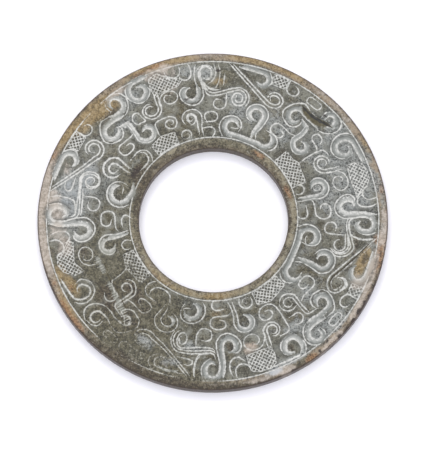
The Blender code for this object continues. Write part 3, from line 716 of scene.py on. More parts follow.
def arch_figure(q):
    """The broad C that hangs from the outer border beside the large hatching."""
    tail = q.near("arch_tip", (0, 0))
    if q.number == 2:
        tail += q.near("arch", (2.6, 4))
    body = q.arcs(
        "arch", q.pick(85, 85, 100, 85), 290,
        (2.2, 3, 2.5, 2.4), (2.4, 3.4, 2.8, 2.5), (2.4, 3.6, 2.6, 2.5), (2.3, 3.1, 2.4, 2.4),
    )
    body += q.arcs(
        "arch", 310, 425,
        (2.6, 2.2, 1.9, 1.4), (2.3, 1.9, 1.9, 1.5), (2.5, 2.1, 2, 1.5), (2.5, 2.2, 2, 1.5),
    )
    outline = q.arcs(
        "arch", 285, 120,
        (3.9, 4.4, 4.9, 5.1), (3.4, 3.7, 4.4, 4.4), (3.6, 4.1, 4.1, 4.3), (3.7, 4.1, 4, 4.2),
    )
    wide = q.pick(3.5, 3.8, 4, 4)
    ring = q.near("arch", (1.2, q.pick(-4.3, -3.8, -4.2, -4)), (2.9, -2.9), (wide, -1.2), (wide - 0.6, 0.5))
    broad = q.pick(band, band, slim, band)
    if q.number == 1:
        return [slim(tail + body[:4], 1), band(body[3:], 1), line(outline), line(ring)]
    return [broad(tail + body, 1), line(outline), line(ring)]


def coil_figure(q):
    """The double-lined coil that comes down from the large hatching."""
    if q.number == 2:
        return []
    far = q.pick(0.3, -0.3, 0, 0.3)
    outer = q.near("coil", (3.9 + far, 4.8), (3.7 + far, 2.2))
    outer += q.arcs("coil", -5, -290, (3.5, 3.2, 2.2, 2.3), (3.1, 2.9, 1.9, 2.1), (), (3.8, 3.6, 2.3, 2.2))
    inner = q.near("coil", (2.8 + far, 4.6), (2.5 + far, 2.2))
    inner += q.arcs("coil", 0, -325, (2.3, 1.9, 1.1, 1.3), (2, 1.8, 1.1, 1.3), (), (2.7, 2.4, 1.3, 1.3))
    return [line(outer), line(inner)]


def hanging_figures(q):
    """The two hooks that hang beside the large hatching."""
    wide = q.pick(1.9, 2.4, 2.7, 2.5)
    bead = q.near("bead", (-2.7, -0.3)) + q.arc("bead", (2.6, 2.6), (wide, 2.3), 215, 375)
    bead += q.near("bead", (wide - 0.2, 1.9))
    reach = q.pick(1.9, 2.5, 2, 2.1)
    sickle = q.near("sickle", (q.pick(-2.3, -2.9, -2, -1.9), -0.7))
    sickle += q.arc("sickle", (2.3, q.pick(2.7, 2.7, 2.4, 2.2)), (reach, 2.3), 215, 350)
    sickle += q.near("sickle", (reach, 1.6), (reach - 0.7, 3.8))
    return [line(bead), line(sickle)]


def whorl_figure(q):
    """The spiral below the large hatching."""
    far = q.pick(4.1, 4.2, 3.8, 3.8)
    whorl = q.near("whorl", (-far - 0.3, -2.6), (-far, 0))
    whorl += q.arcs(
        "whorl", 160, -240,
        (3.7, 3.2, 1.8, 1.6), (3.7, 3.4, 2, 1.7), (3.4, 2.8, 1.8, 1.7), (3.3, 2.7, 1.8, 1.6),
    )
    return [line(whorl + q.near("whorl", (0, 0.9)), half=q.pick(0.27, 0.27, 0.27, 0.33))]


def umbrella_figure(q):
    """The hooked staff that stands on the inner border."""
    head = q.arcs(
        "umbrella", -110, -360,
        (1.3, 1.9, 2.2, 2.2), (1.3, 2.1, 2.2, 2.3), (1.3, 1.7, 2, 2.1), (1.1, 1.6, 1.9, 1.9),
    )
    staff = head[-2:] + q.near("umbrella", (q.pick(2.2, 2.1, 2.1, 1.9), -3)) + q.near("umbrella_foot", (0, 0))
    outline = q.arcs(
        "umbrella", 215, 0,
        (3, 2.9, 3.9, 4.2), (2.9, 2.8, 3.7, 4), (2.8, 2.4, 3.8, 3.9), (2.7, 2.4, 3.7, 3.9),
    )
    outline += q.near("umbrella", (q.pick(3.5, 3.4, 3.5, 3.4), -2.6))
    outline += q.near("umbrella_foot", (q.pick(1.3, 0.8, 0.9, 1), 1.5), (q.pick(1.2, 1.6, 1.4, 1.3), -0.8))
    cuts = [line(outline), q.pick(band, band, band, slim)(head, -1)]
    cuts.append(band(staff, -1) if q.number in (0, 2) else line(staff))
    if q.number == 0:
        cuts.append(line(q.arc("umbrella", (1.2, 1.4), (0.7, 0.7), -120, 240), fill=0.75, half=0.27))
    if q.number == 3:
        cuts.append(line(q.arc("umbrella", (1.8, 2.1), (0.5, 0.6), -110, 330)))
    return cuts


def foot_figures(q):
    """The ring, the bean and the toe along the inner border after the umbrella's foot."""
    tall = q.pick(1.9, 2.4, 1.9, 1.9)
    first, last = q.pick(1.6, 2.1, 1.6, 1.7), q.pick(1.7, 2.2, 1.6, 1.6)
    cuts = [line(q.arc("foot_ring", (first, tall - 0.2), (last, tall), 190, -40))]
    if q.number in (1, 3):
        cuts.append(line(q.arc("foot_ring", (1.8, 1.4), (0.6, 0.5), 205, 420), half=0.22, fill=0.7))
    low, top = q.pick(-0.45, 0, 0, 0), q.pick(0, -0.35, 0, 0)
    bean = q.near(
        "bean", (-4.6, -3.3 + low), (-3.6, -2.6 + low), (-1.3, -2.4 + low), (1, -2.3 + low), (2.4, -1.5),
        (2.7, 0.2), (1.9, 1.8 + top), (0.2, 2.3 + top), (-1.6, 2 + top), (-2.4, 0.7), (-2, -0.7),
        (-0.5, -1.2),
    )
    if q.number == 3:
        bean = q.near("bean", (-3.3, -2.1), (-1.8, -1.9), (0.7, -1.8), (1.9, -1.1), (2.1, 0.2), (1.4, 1.3))
        bean += q.near("bean", (0, 1.6), (-1.5, 1.3), (-2.2, 0.3), (-2.1, -0.9), (-1.5, -1.7))
    drop = q.pick(0, 0, -0.3, -0.1)
    toe = q.near(
        "toe", (-2.7, 1.2 + drop), (-0.4, 1.5 + drop), (0.9, 1 + drop), (1.4, 0), (1.1, -1.2), (0.4, -2),
    )
    return cuts + [line(bean), line(toe)]


def crook_figure(q):
    """The crook whose stem runs up to the outer border."""
    stem = q.pick(2, 1.9, 1.8, 2.2)
    body = q.arcs(
        "crook", 100, 360,
        (1.7, 1.9, 2, 2.3), (1.7, 1.8, 1.9, 2.3), (2, 2.1, 1.8, 2.4), (1.7, 1.8, 2.2, 2.3),
    )
    body += q.near("crook", (stem, 2.4)) + q.near("crook_top", (-0.4, -3), (0.4, 0.6))
    outline = q.near("crook", (-0.9, 2.3))
    outline += q.arcs(
        "crook", 125, 345,
        (4.1, 3.1, 4.3, 5.1), (3.9, 3.1, 4.3, 5), (3.7, 3.3, 4.6, 5.2), (3.5, 3, 4.4, 4.9),
    )
    outline += q.near("crook", (q.pick(4, 3.9, 4.2, 4.1), 1.8)) + q.near("crook_top", (1.2, -3.6), (1.5, -1))
    if q.number == 3:
        return [band(body[:-2], 1), line(body[-3:]), line(outline)]
    return [band(body, 1), line(outline)]


def top_hook_figure(q):
    """The curled head under the outer border, with its outer lines."""
    body = q.near("top_hook", (-2.4, -2.4))
    body += q.arcs(
        "top_hook", -180, -450,
        (2.4, 2.6, 1.8, 2.2), (2.3, 2.6, 1.7, 2.1), (2.4, 2.6, 2, 2.4), (2.3, 2.6, 1.7, 2.2),
    )
    body += q.near("top_hook", (-0.7, -1.7))
    broad = q.pick(band, band, band, slim)
    near_u = q.pick(3.6, 3.7, 3.8, 3.4)
    second = q.near("top_hook", (near_u - 0.7, 3.2))
    second += q.arc("top_hook", (near_u, 3.4), (near_u - 0.5, 3.7), 20, -75)
    cuts = [broad(body, -1), line(second)]
    if q.number == 3:
        cuts.append(line(q.arc("top_hook", (3.2, 3.2), (2.8, 3), 160, 20), fill=0.7))
    far, deep = q.pick(5.3, 6, 6.3, 4.7), q.pick(5.2, 5.4, 5.7, 5.5)
    third = q.near(
        "top_hook", (far - 0.7, 3.4), (far, 0.8), (far - 0.1, -2), (far - 1, 0.9 - deep), (2.6, 0.2 - deep),
        (0.3, -deep),
    )
    cuts.append(line(third, fill=q.pick(0.9, 0.9, 0.9, 0.6)))
    return cuts


def wave_figure(q, following):
    """The bundle of lines that runs into the next quarter and wraps round its eye."""
    def wrap(joins, *turns):
        """The part in the next quarter, which joins the eye at two heights and turns round it."""
        first, second = following.pick(*joins)
        part = following.near("eye", (-5.2, first), (-3.4, second))
        return part + following.arc("eye", *following.pick(*turns))

    rise = q.pick(-0.3, 0, 0.3, 0.6)
    upper = q.near("wave", (-0.8, 2.6 + rise), (-0.5, 1.5 + rise), (0.3, 0.9 + rise), (1.7, 0.8 + rise))
    upper += wrap(
        ((2.9, 3.2), (2.6, 3.3), (3.9, 4.3), (3, 3.2)),
        ((3.6, 3.9), (3.7, 3.6), 95, -40), ((3.9, 4.7), (4, 4.2), 95, -20),
        ((3.6, 4.4), (3.7, 4.2), 95, -30), ((3.5, 3.9), (2.3, 2), 95, -235),
    )
    rise = q.pick(-0.2, 0, 0.1, 0.5)
    middle = q.near("wave", (-1, 0.9 + rise), (-0.2, 0.2 + rise), (1.4, -0.1 + rise))
    middle += wrap(
        ((2, 2.5), (1.7, 2.3), (3, 3.3), (2.5, 2.7)),
        ((2.9, 3.1), (0.9, 0.9), 95, -560), ((3.2, 3.6), (3.1, 3.2), 95, -50),
        ((3, 3.5), (2.9, 3.2), 95, -50), ((2.7, 3.3), (0.9, 0.9), 95, -480),
    )
    if q.number == 3:
        upper = q.at((73.3, 48.5), (75.2, 44.9), (77.3, 44), (79.5, 44.1), (85, 45.7)) + upper[6:]
        start = q.at((72.9, 51.8), (73, 48.9), (74.1, 45.7), (75.5, 43.3), (79.5, 43.1), (83.4, 44.1))
        middle = start + middle[5:]
    cuts = [line(upper), line(middle)]
    if q.number == 0:
        third = following.near("eye", (-4.2, 1.9), (-2.4, 2.4))
        third += following.arc("eye", (2.6, 2.9), (2.6, 2.6), 105, -40)
        fourth = following.near("eye", (-3.9, 1.3), (-2.4, 1.5))
        fourth += following.arc("eye", (2, 1.9), (1.8, 1.8), 105, -165)
        return cuts + [line(third), line(fourth)]
    lower = q.near("wave", (-0.6, -0.1), (0.2, q.pick(0, -0.7, -0.6, -0.3)), (2.2, q.pick(0, -1, -0.8, -0.5)))
    if q.number == 1:
        lower += following.near("eye", (-5.2, 1.8), (-3.4, 2.3))
        lower += following.arc("eye", (1.9, 2.9), (1, 1.1), 105, -420)
    elif q.number == 3:
        lower = q.at((73.9, 47.9), (76, 45.6), (78.4, 44.9), (80.7, 45.3))
    else:
        lower += following.near("eye", (-5.2, 1.5), (-3.4, 1.9))
    return cuts + [line(lower)]


def end_ring_figure(q):
    """The ring on a stem where a quarter ends."""
    wide, low, tail = q.pick(2.1, 2.4, 2.3, 1.9), q.pick(-2, -2.4, -2.1, -1.7), q.pick(1.8, 2.4, 2.2, 2.1)
    ring = q.near(
        "end_ring", (0.4, 1.6), (-1.1, 1.7), (-wide, 0.6), (-wide + 0.2, low + 0.9), (-0.5, low),
        (1.3, low + 0.3), (tail, -0.2), (tail, 2), (tail - 0.1, 4),
    )
    return [line(ring)]


def start_marks(q):
    """The upright strokes and the small wedge where a quarter begins."""
    if q.number == 0:
        return [line(q.at((-1.4, 50.9), (-1.5, 47.3)), half=0.35)]
    if q.number == 1:
        first = q.at((0.5, 53.3), (1.4, 49.8), (0.7, 46.9))
        return [line(first, fill=0.7), line(q.at((-1.9, 54.2), (-0.8, 51.3), (-1.7, 48)), fill=0.8)]
    rise = q.pick(0, 0, 0.3, -0.2)
    wedge = q.at(
        (5, 47.9 + rise), (1.2, 48 + rise), (-0.8, 48.4 + rise), (-0.9, 49.7), (0.4, 50.4), (2, 50.3),
    )
    cuts = [line(wedge)]
    if q.number == 2:
        cuts.append(line(q.at((-2, 53.5), (-2, 50), (-2.5, 48.3), (-3.5, 47))))
    return cuts


FIGURES = (
    base_figure, crest_figure, shaft_figure, border_hook_figure, ring_figures, great_scroll_figure,
    stem_figure, comma_figure, curl_figure, bracket_figure, arch_figure, coil_figure,
    hanging_figures, whorl_figure, umbrella_figure, foot_figures, crook_figure, top_hook_figure,
    end_ring_figure, start_marks,
)


def inside(point, corners):
    """Whether a plan point lies inside a ring of corners."""
    x, y = point
    odd = False
    for (x1, y1), (x2, y2) in zip(corners, corners[1:] + corners[:1]):
        if (y1 > y) != (y2 > y) and x < x1 + (y - y1) * (x2 - x1) / (y2 - y1):
            odd = not odd
    return odd


def hatch_cuts(q, panel):
    """Two sets of slanting lines that fill a panel."""
    corners = q.at(*panel)
    sides = zip(corners, corners[1:] + corners[:1])
    edge = [place for side in sides for place in np.linspace(*side, HATCH_EDGE_POINTS)[:-1]]
    cuts = [line(edge + corners[:1], fill=0.6, half=HATCH_EDGE_HALF)]
    centre = np.mean(corners, axis=0)
    outward = centre / np.linalg.norm(centre)
    clockwise = np.array([outward[1], -outward[0]])
    reach = max(np.linalg.norm(np.array(corner) - centre) for corner in corners)
    rows = math.ceil(reach / HATCH_PITCH)
    reaches = np.arange(-reach, reach, HATCH_TRIM)
    for lean in (1, -1):
        along = (clockwise + outward * lean) / math.sqrt(2)
        across = np.array([-along[1], along[0]])
        for row in range(-rows, rows + 1):
            middle = centre + across * (row + 0.5) * HATCH_PITCH
            kept = [place for place in (middle + along * part for part in reaches) if inside(place, corners)]
            if len(kept) > HATCH_LEAST:
                cuts.append(Cut(
                    [kept[0], kept[-1]], HATCH_HALF, HATCH_HALF, HATCH_DEPTH, fill=0.9, tip=0.8,
                    step=HATCH_PITCH / 2, strip=0.8,
                ))
    return cuts


def seam():
    """The natural fissure: a dark core in a broader olive hollow on its inner side."""
    core = [on_face(*place) for place in SEAM]
    turn, inward = SEAM_HOLLOW
    hollow = [on_face(bearing + turn, radius + inward) for bearing, radius in SEAM[:-1]]
    return [
        Cut(hollow, left=1.5, right=1.5, depth=0.12, fill=0.0, dark=0.55, tip=0.2),
        line(core, fill=0.0, half=0.7, depth=0.16, dark=1.0),
    ]


def saw_marks():
    """What is left of a saw cut: broken shallow marks with painted shade along one edge, crossed by
    scratches, and a small hook.
    """
    first, last = (np.array(on_face(*place)) for place in SAW_SCAR)
    along = last - first
    aside = np.array((-along[1], along[0])) / np.hypot(*along)

    def mark(ends, half, fill=0.0, dark=0.0, side=0.0):
        """A mark between two shares of the scar's length, so many millimetres to its side."""
        path = [first + along * part + aside * side for part in ends]
        return Cut(path, half, half, SAW_DEPTH, fill, dark, tip=0.8, lasting=0.75)

    def scratch(part, reach):
        """A fine scratch across the scar."""
        middle = first + along * part
        return Cut([middle + aside * reach * 0.7, middle - aside * reach], 0.3, 0.3, 0.05, 0.9, lasting=0.2)

    cuts = [mark(ends, 1.15, fill=0.6) for ends in SAW_MARKS]
    # Painted shade: a dark line in the earth tones along one edge of each mark after the first
    cuts += [mark((start + 0.015, end), 0.3, dark=0.8, side=1.3) for start, end in SAW_MARKS[1:]]
    cuts.append(mark(SAW_DARK_MARK, 0.45, dark=0.75, side=0.6))
    for number, part in enumerate(np.arange(*SCRATCHES)):
        if any(start <= part <= end for start, end in SAW_MARKS + (SAW_WORN_END,)):
            cuts.append(scratch(part, 1.0 + 0.35 * math.sin(number * SCRATCH_SWAY)))
    cuts.append(line([on_face(*place) for place in SAW_HOOK], fill=0.8))
    return cuts


def pool_line():
    """The pale shallow line left beside the outer border."""
    return [Cut([on_face(*place) for place in POOL_LINE], 0.45, 0.45, 0.05, fill=0.6, lasting=0.3)]


def carve():
    """Every cut of the face except the two border lines."""
    quarters = [Quarter(number) for number in range(len(QUARTER_STARTS))]
    cuts = []
    for q in quarters:
        for figure in FIGURES:
            cuts += figure(q)
        following = Quarter((q.number + 1) % len(quarters))
        cuts += wave_figure(q, following)
        for panels in HATCHES:
            cuts += hatch_cuts(q, panels[q.number])
    return cuts


def bearings_of(points):
    """The bearings of plan points."""
    return np.degrees(np.arctan2(points[:, 0], points[:, 1]))


def turns_from(bearing, bearings):
    """The shorter turns from one bearing to others, in radians."""
    return np.radians((bearings - bearing + 180) % 360 - 180)


def clear_share(points, patches):
    """What soft patches leave clear at plan points, from 1 down to 0.

    A patch is an ellipse that lies along the ring: bearing, radius, half length, half width, strength.
    """
    reach, bearings = np.hypot(points[:, 0], points[:, 1]), bearings_of(points)
    clear = np.ones(len(points))
    for bearing, radius, half_length, half_width, strength in patches:
        clockwise = turns_from(bearing, bearings) * radius
        apart = (clockwise / half_length) ** 2 + ((reach - radius) / half_width) ** 2
        clear *= 1 - strength * np.exp(-apart)
    return clear


def circle(centre, radius, steps, stray=0.0):
    """Points evenly round a circle, or round one that strays a little."""
    angles = np.linspace(0, 2 * math.pi, steps, endpoint=False)
    radius = radius + stray * np.cos(2 * (angles - math.radians(STRAY_BEARING)))
    return np.column_stack([centre[0] + radius * np.sin(angles), centre[1] + radius * np.cos(angles)])


def border_groove(points, centre, radius, stray):
    """How far plan points lie inside a border line, 1 at its deepest."""
    offset = points - np.array(centre)
    angles = np.arctan2(offset[:, 0], offset[:, 1]) - math.radians(STRAY_BEARING)
    gap = np.abs(np.hypot(offset[:, 0], offset[:, 1]) - radius - stray * np.cos(2 * angles))
    return np.clip(1 - gap / BORDER_HALF, 0, 1)


def chipped(turn, reach, height, sideways):
    """Points (turn in degrees, reach, height) moved below the broken faces of the chips.

    Points of the flat face only sink; points of the wall also move inward. The third result says
    how far each point lies in a break.
    """
    reach, height, broken = reach.copy(), height.copy(), np.zeros(len(turn))
    for bearing, length, inward, depth in RIM_CHIPS:
        along = turns_from(bearing, turn) * DISC_RADIUS / (length / 2)
        ragged = sum((share * np.sin(np.radians(turn * waves)) for share, waves in RAGGED), start=1.0)
        size = np.sqrt(np.clip(1 - along ** 2, 0, 1)) * ragged
        excess = (reach - DISC_RADIUS) / inward + (height - THICKNESS) / depth + size
        excess = np.where(size > 0, np.clip(excess, 0, CHIP_LIMIT), 0)
        height -= excess * depth * (0.5 if sideways else 1)
        reach -= excess * inward * (0.5 if sideways else 0)
        broken = np.maximum(broken, np.clip(excess * CHIP_LOOK_RISE, 0, 1))
    return reach, height, broken


def face_values(points, cuts):
    """The carving at plan points: a column for each of CUT_VALUES."""
    found = np.zeros((len(points), len(CUT_VALUES)))
    left = clear_share(points, WORN)
    for border in BORDERS:
        groove = border_groove(points, *border) * left
        found[:, DEPTH] = np.maximum(found[:, DEPTH], groove * BORDER_DEPTH)
        matter = np.clip(groove * BORDER_FILL_RISE, 0, 1) * BORDER_FILL
        found[:, FILL] = np.maximum(found[:, FILL], matter)
    for cut in cuts:
        margin = max(cut.left, cut.right) + 2 * HALO_WIDTH
        low, high = cut.path.min(0) - margin, cut.path.max(0) + margin
        near = np.nonzero(((points > low) & (points < high)).all(1))[0]
        if len(near):
            values, before = cut.measure(points[near]), found[near]
            kept = 1.0 if cut.lasting else left[near, None]
            values[:, [DEPTH]] *= DEPTH_KEPT + (1 - DEPTH_KEPT) * kept
            values[:, WORN_VALUES] *= kept
            fuller = values[:, FILL] > before[:, FILL]
            found[near, :GREATEST] = np.maximum(values[:, :GREATEST], before[:, :GREATEST])
            found[near[fuller], GREATEST:] = values[fuller, GREATEST:]
    return found


def wall_profile(inset, rounding):
    """Points (distance in from the wall, height) down a wall, rounded over at both faces."""
    turns = [math.radians(angle) for angle in ROUND_TURNS]
    top = [(inset * (1 - math.cos(turn)), THICKNESS - rounding * (1 - math.sin(turn))) for turn in turns]
    middle = [(0.0, THICKNESS * share) for share in WALL_HEIGHTS]
    return top + middle + [(away, THICKNESS - height) for away, height in reversed(top)]


def face_plan(cuts, rings, spacing):
    """The triangles of a flat face between two rings, with every cut's ribs among its edges."""
    points, edges = [], []

    def add(row, closed):
        """A row of points and the edges between them."""
        first = len(points)
        points.extend(map(tuple, row))
        edges.extend((first + step, first + step + 1) for step in range(len(row) - 1))
        if closed:
            edges.append((first + len(row) - 1, first))

    for ring in rings:
        add(ring, True)
    ring_count = len(points)
    for centre, radius, stray in BORDERS:
        steps = round(2 * math.pi * radius / BORDER_STEP)
        for offset in (-BORDER_HALF, 0, BORDER_HALF):
            add(circle(centre, radius + offset, steps, stray), True)
    for cut in cuts:
        for row in cut.ribs():
            add(row, False)
    # The face's own points keep out of the cells round a cut's points
    cell = spacing * CLEAR_SHARE
    span = int(DISC_RADIUS * 2 / cell) + 4
    taken = np.zeros((span, span), dtype=bool)
    places = ((np.array(points) + DISC_RADIUS) / cell).astype(int) + 1
    for right in (-1, 0, 1):
        for up in (-1, 0, 1):
            taken[places[:, 0] + right, places[:, 1] + up] = True
    reach = DISC_RADIUS - EDGE_ROUND - spacing / 2
    clear_of_hole = HOLE_RADIUS + HOLE_FLARE + HOLE_ROUND + spacing / 2
    row_gap = spacing * math.sqrt(3) / 2
    for row, y in enumerate(np.arange(-reach, reach, row_gap)):
        shift = spacing / 2 * (row % 2)
        for x in np.arange(-reach + shift, reach, spacing):
            hole_gap = math.hypot(x - HOLE_CENTRE[0], y - HOLE_CENTRE[1])
            place = int((x + DISC_RADIUS) / cell) + 1, int((y + DISC_RADIUS) / cell) + 1
            if math.hypot(x, y) < reach and hole_gap > clear_of_hole and not taken[place]:
                points.append((x, y))
    corners = [Vector(point) for point in points]
    plan, _, triangles, merged = delaunay_2d_cdt(corners, edges, [], 0, MERGE_GAP, True)[:4]
    ring_index = {old: new for new, olds in enumerate(merged) for old in olds if old < ring_count}
    plan, triangles = np.array([tuple(place) for place in plan]), np.array(triangles)
    middle = plan[triangles].mean(1) - np.array(HOLE_CENTRE)
    hole_ring = np.hypot(*(np.array(rings[1][0]) - np.array(HOLE_CENTRE)))
    triangles = triangles[np.hypot(middle[:, 0], middle[:, 1]) > hole_ring]
    return plan, triangles, [ring_index[number] for number in range(ring_count)]


class Shell:
    """The disc's surface as it is put together: places, triangles and a value of each kind."""

    KINDS = CUT_VALUES + ("face", "wall", "broken")

    def __init__(self):
        self.places, self.faces, self.values, self.count = [], [], [], 0

    def add(self, places, **values):
        """Adds places, and gives back their numbers."""
        first = self.count
        self.count += len(places)
        self.places.append(places)
        self.values.append(np.column_stack([
            values.get(kind, np.zeros(len(places))) for kind in self.KINDS
        ]))
        return np.arange(first, self.count)

    def join(self, upper, lower):
        """Quads between two closed rows of points."""
        after_upper, after_lower = np.roll(upper, -1), np.roll(lower, -1)
        self.faces.extend(zip(upper.tolist(), after_upper.tolist(), after_lower.tolist(), lower.tolist()))


def add_face(shell, rings, cuts, spacing, upward):
    """One face of the disc: its places and its triangles. Gives back its rings' numbers."""
    plan, triangles, ring_numbers = face_plan(cuts, rings, spacing)
    values = dict(zip(CUT_VALUES, face_values(plan, cuts).T))
    values["cut"] *= -1 if upward else 1
    reach = np.hypot(plan[:, 0], plan[:, 1])
    inner = np.hypot(plan[:, 0] - HOLE_CENTRE[0], plan[:, 1] - HOLE_CENTRE[1])
    height = np.full(len(plan), THICKNESS if upward else 0.0)
    broken = np.zeros(len(plan))
    if upward:
        _, height, broken = chipped(bearings_of(plan), reach, height, sideways=False)
    from_edge = np.minimum(DISC_RADIUS - EDGE_ROUND - reach, inner - HOLE_RADIUS - HOLE_FLARE)
    flat = np.clip(from_edge / EDGE_FADE, 0, 1) * upward
    numbers = shell.add(np.column_stack([plan, height]), face=flat, broken=broken, **values)
    shell.faces.extend(map(tuple, (triangles + numbers[0]).tolist()))
    numbered = numbers[ring_numbers]
    return numbered[:len(rings[0])], numbered[len(rings[0]):]


def add_wall(shell, top, low, centre, radius, side, profile):
    """A wall from the upper face's ring to the underside's; side is 1 outside, -1 in the hole."""
    turns = np.linspace(0, 2 * math.pi, len(top), endpoint=False)
    above = top
    for away, height in profile[1:-1]:
        reach, heights = np.full(len(top), radius - away * side), np.full(len(top), height)
        broken = np.zeros(len(top))
        if side > 0:
            reach, heights, broken = chipped(np.degrees(turns), reach, heights, sideways=True)
        places = np.column_stack([
            centre[0] + reach * np.sin(turns), centre[1] + reach * np.cos(turns), heights,
        ])
        row = shell.add(places, wall=np.ones(len(top)), broken=broken)
        shell.join(above, row)
        above = row
    shell.join(above, low)


def disc_shell(cuts):
    """The whole disc: carved face, underside with its two border lines, rim and hole."""
    shell = Shell()
    rim = circle((0.0, 0.0), DISC_RADIUS - EDGE_ROUND, RIM_STEPS)
    hole = circle(HOLE_CENTRE, HOLE_RADIUS + HOLE_FLARE, HOLE_STEPS)
    top_rim, top_hole = add_face(shell, (rim, hole), cuts, FACE_SPACING, upward=True)
    low_rim, low_hole = add_face(shell, (rim, hole), [], BACK_SPACING, upward=False)
    add_wall(shell, top_rim, low_rim, (0.0, 0.0), DISC_RADIUS, 1, wall_profile(EDGE_ROUND, EDGE_ROUND))
    add_wall(shell, top_hole, low_hole, HOLE_CENTRE, HOLE_RADIUS, -1, wall_profile(HOLE_FLARE, HOLE_ROUND))
    return shell


def new_object(name, data):
    """An object of this data, placed in the scene."""
    made = bpy.data.objects.new(name, data)
    bpy.context.scene.collection.objects.link(made)
    return made


def shell_object(shell):
    """The shell as a closed smooth mesh object with its values as attributes."""
    places = np.vstack(shell.places)
    values = np.vstack(shell.values)
    mesh = bpy.data.meshes.new("carved_disc")
    mesh.from_pydata((places * MM).tolist(), [], shell.faces)
    columns = dict(zip(shell.KINDS, values.T))
    columns.update((name, 1 - clear_share(places[:, :2], patches)) for name, patches in STAINS.items())
    for name, column in columns.items():
        attribute = mesh.attributes.new(name, "FLOAT", "POINT")
        attribute.data.foreach_set("value", np.ascontiguousarray(column, dtype=np.float32))
    sculpt = bmesh.new()
    sculpt.from_mesh(mesh)
    bmesh.ops.recalc_face_normals(sculpt, faces=sculpt.faces)
    for face in sculpt.faces:
        face.smooth = True
    sculpt.to_mesh(mesh)
    sculpt.free()
    return new_object("carved_disc", mesh)


class Tree:
    """A node tree that is built node by node."""

    def __init__(self, tree):
        self.tree = tree

    def node(self, kind, settings=None, **values):
        """Adds a node: its settings first, then its sockets' values or links.

        A socket goes by its name, with _ for a space, or by its number, as in _0.
        """
        made = self.tree.nodes.new(kind)
        for name, setting in (settings or {}).items():
            setattr(made, name, setting)
        for name, value in values.items():
            key = int(name[1:]) if name[0] == "_" and name[1:].isdigit() else name.replace("_", " ")
            self.fill(made.inputs[key], value)
        return made

    def fill(self, socket, value):
        """Links a socket or sets its value."""
        if isinstance(value, Num):
            value = value.socket
        if isinstance(value, bpy.types.NodeSocket):
            self.tree.links.new(value, socket)
        else:
            socket.default_value = value


class Num:
    """A number that changes over the surface, for sums written as plain expressions."""

    def __init__(self, tree, socket):
        self.tree, self.socket = tree, socket

    def sum(self, operation, first, second):
        """What a Math node makes of two numbers."""
        node = self.tree.node("ShaderNodeMath", {"operation": operation}, _0=first, _1=second)
        return Num(self.tree, node.outputs[0])

    def __add__(self, other):
        return self.sum("ADD", self, other)

    def __sub__(self, other):
        return self.sum("SUBTRACT", self, other)

    def __rsub__(self, other):
        return self.sum("SUBTRACT", other, self)

    def __mul__(self, other):
        return self.sum("MULTIPLY", self, other)

    __radd__, __rmul__ = __add__, __mul__

    def step(self, low, high):
        """0 below low, 1 above high and a smooth rise between."""
        node = self.tree.node(
            "ShaderNodeMapRange", {"interpolation_type": "SMOOTHSTEP"}, Value=self, From_Min=low,
            From_Max=high,
        )
        return Num(self.tree, node.outputs["Result"])


# The sizes that the geometry nodes take in: named inputs of the tree
WORN_SIZES = {"Cut Depth": MM, "Wave Height": WAVE_HEIGHT * MM, "Wave Scale": WAVE_SCALE}


def worn_surface_tree(material):
    """Geometry nodes that sink the carving and give the hand-ground face its slow waves."""
    group = bpy.data.node_groups.new("worn_surface", "GeometryNodeTree")
    face = group.interface
    face.new_socket("Geometry", in_out="INPUT", socket_type="NodeSocketGeometry")
    for name in WORN_SIZES:
        face.new_socket(name, in_out="INPUT", socket_type="NodeSocketFloat")
    face.new_socket("Geometry", in_out="OUTPUT", socket_type="NodeSocketGeometry")
    tree = Tree(group)
    given = tree.node("NodeGroupInput").outputs
    cut, flat = (
        tree.node("GeometryNodeInputNamedAttribute", {"data_type": "FLOAT"}, Name=name).outputs["Attribute"]
        for name in ("cut", "face")
    )
    place = tree.node("GeometryNodeInputPosition").outputs[0]
    noise = tree.node("ShaderNodeTexNoise", Vector=place, Scale=given["Wave Scale"], Detail=3.0)
    wave = Num(tree, noise.outputs["Fac"]) * Num(tree, given["Wave Height"])
    sink = Num(tree, cut) * Num(tree, given["Cut Depth"]) - wave * Num(tree, flat)
    offset = tree.node("ShaderNodeCombineXYZ", Z=sink)
    moved = tree.node("GeometryNodeSetPosition", Geometry=given["Geometry"], Offset=offset.outputs[0])
    whole = tree.node("GeometryNodeRealizeInstances", Geometry=moved.outputs[0])
    dressed = tree.node("GeometryNodeSetMaterial", Geometry=whole.outputs[0], Material=material)
    tree.node("NodeGroupOutput", Geometry=dressed.outputs[0])
    return group


def baked(piece, group, sizes):
    """A piece with its geometry nodes, set to these sizes, turned into plain mesh."""
    modifier = piece.modifiers.new("worn", "NODES")
    modifier.node_group = group
    for socket in group.interface.items_tree:
        if socket.in_out == "INPUT" and socket.name in sizes:
            modifier[socket.identifier] = sizes[socket.name]
    evaluated = piece.evaluated_get(bpy.context.evaluated_depsgraph_get())
    mesh = bpy.data.meshes.new_from_object(evaluated)
    piece.modifiers.remove(modifier)
    piece.data = mesh
    return piece


def tone(name):
    """The stone's own colour, linear, which the studio's light shows as one of the tones."""
    parts = [part / 255 for part in TONES[name]]
    linear = (p / 12.92 if p <= 0.04045 else ((p + 0.055) / 1.055) ** 2.4 for p in parts)
    return tuple(part / STUDIO_GAIN for part in linear) + (1.0,)


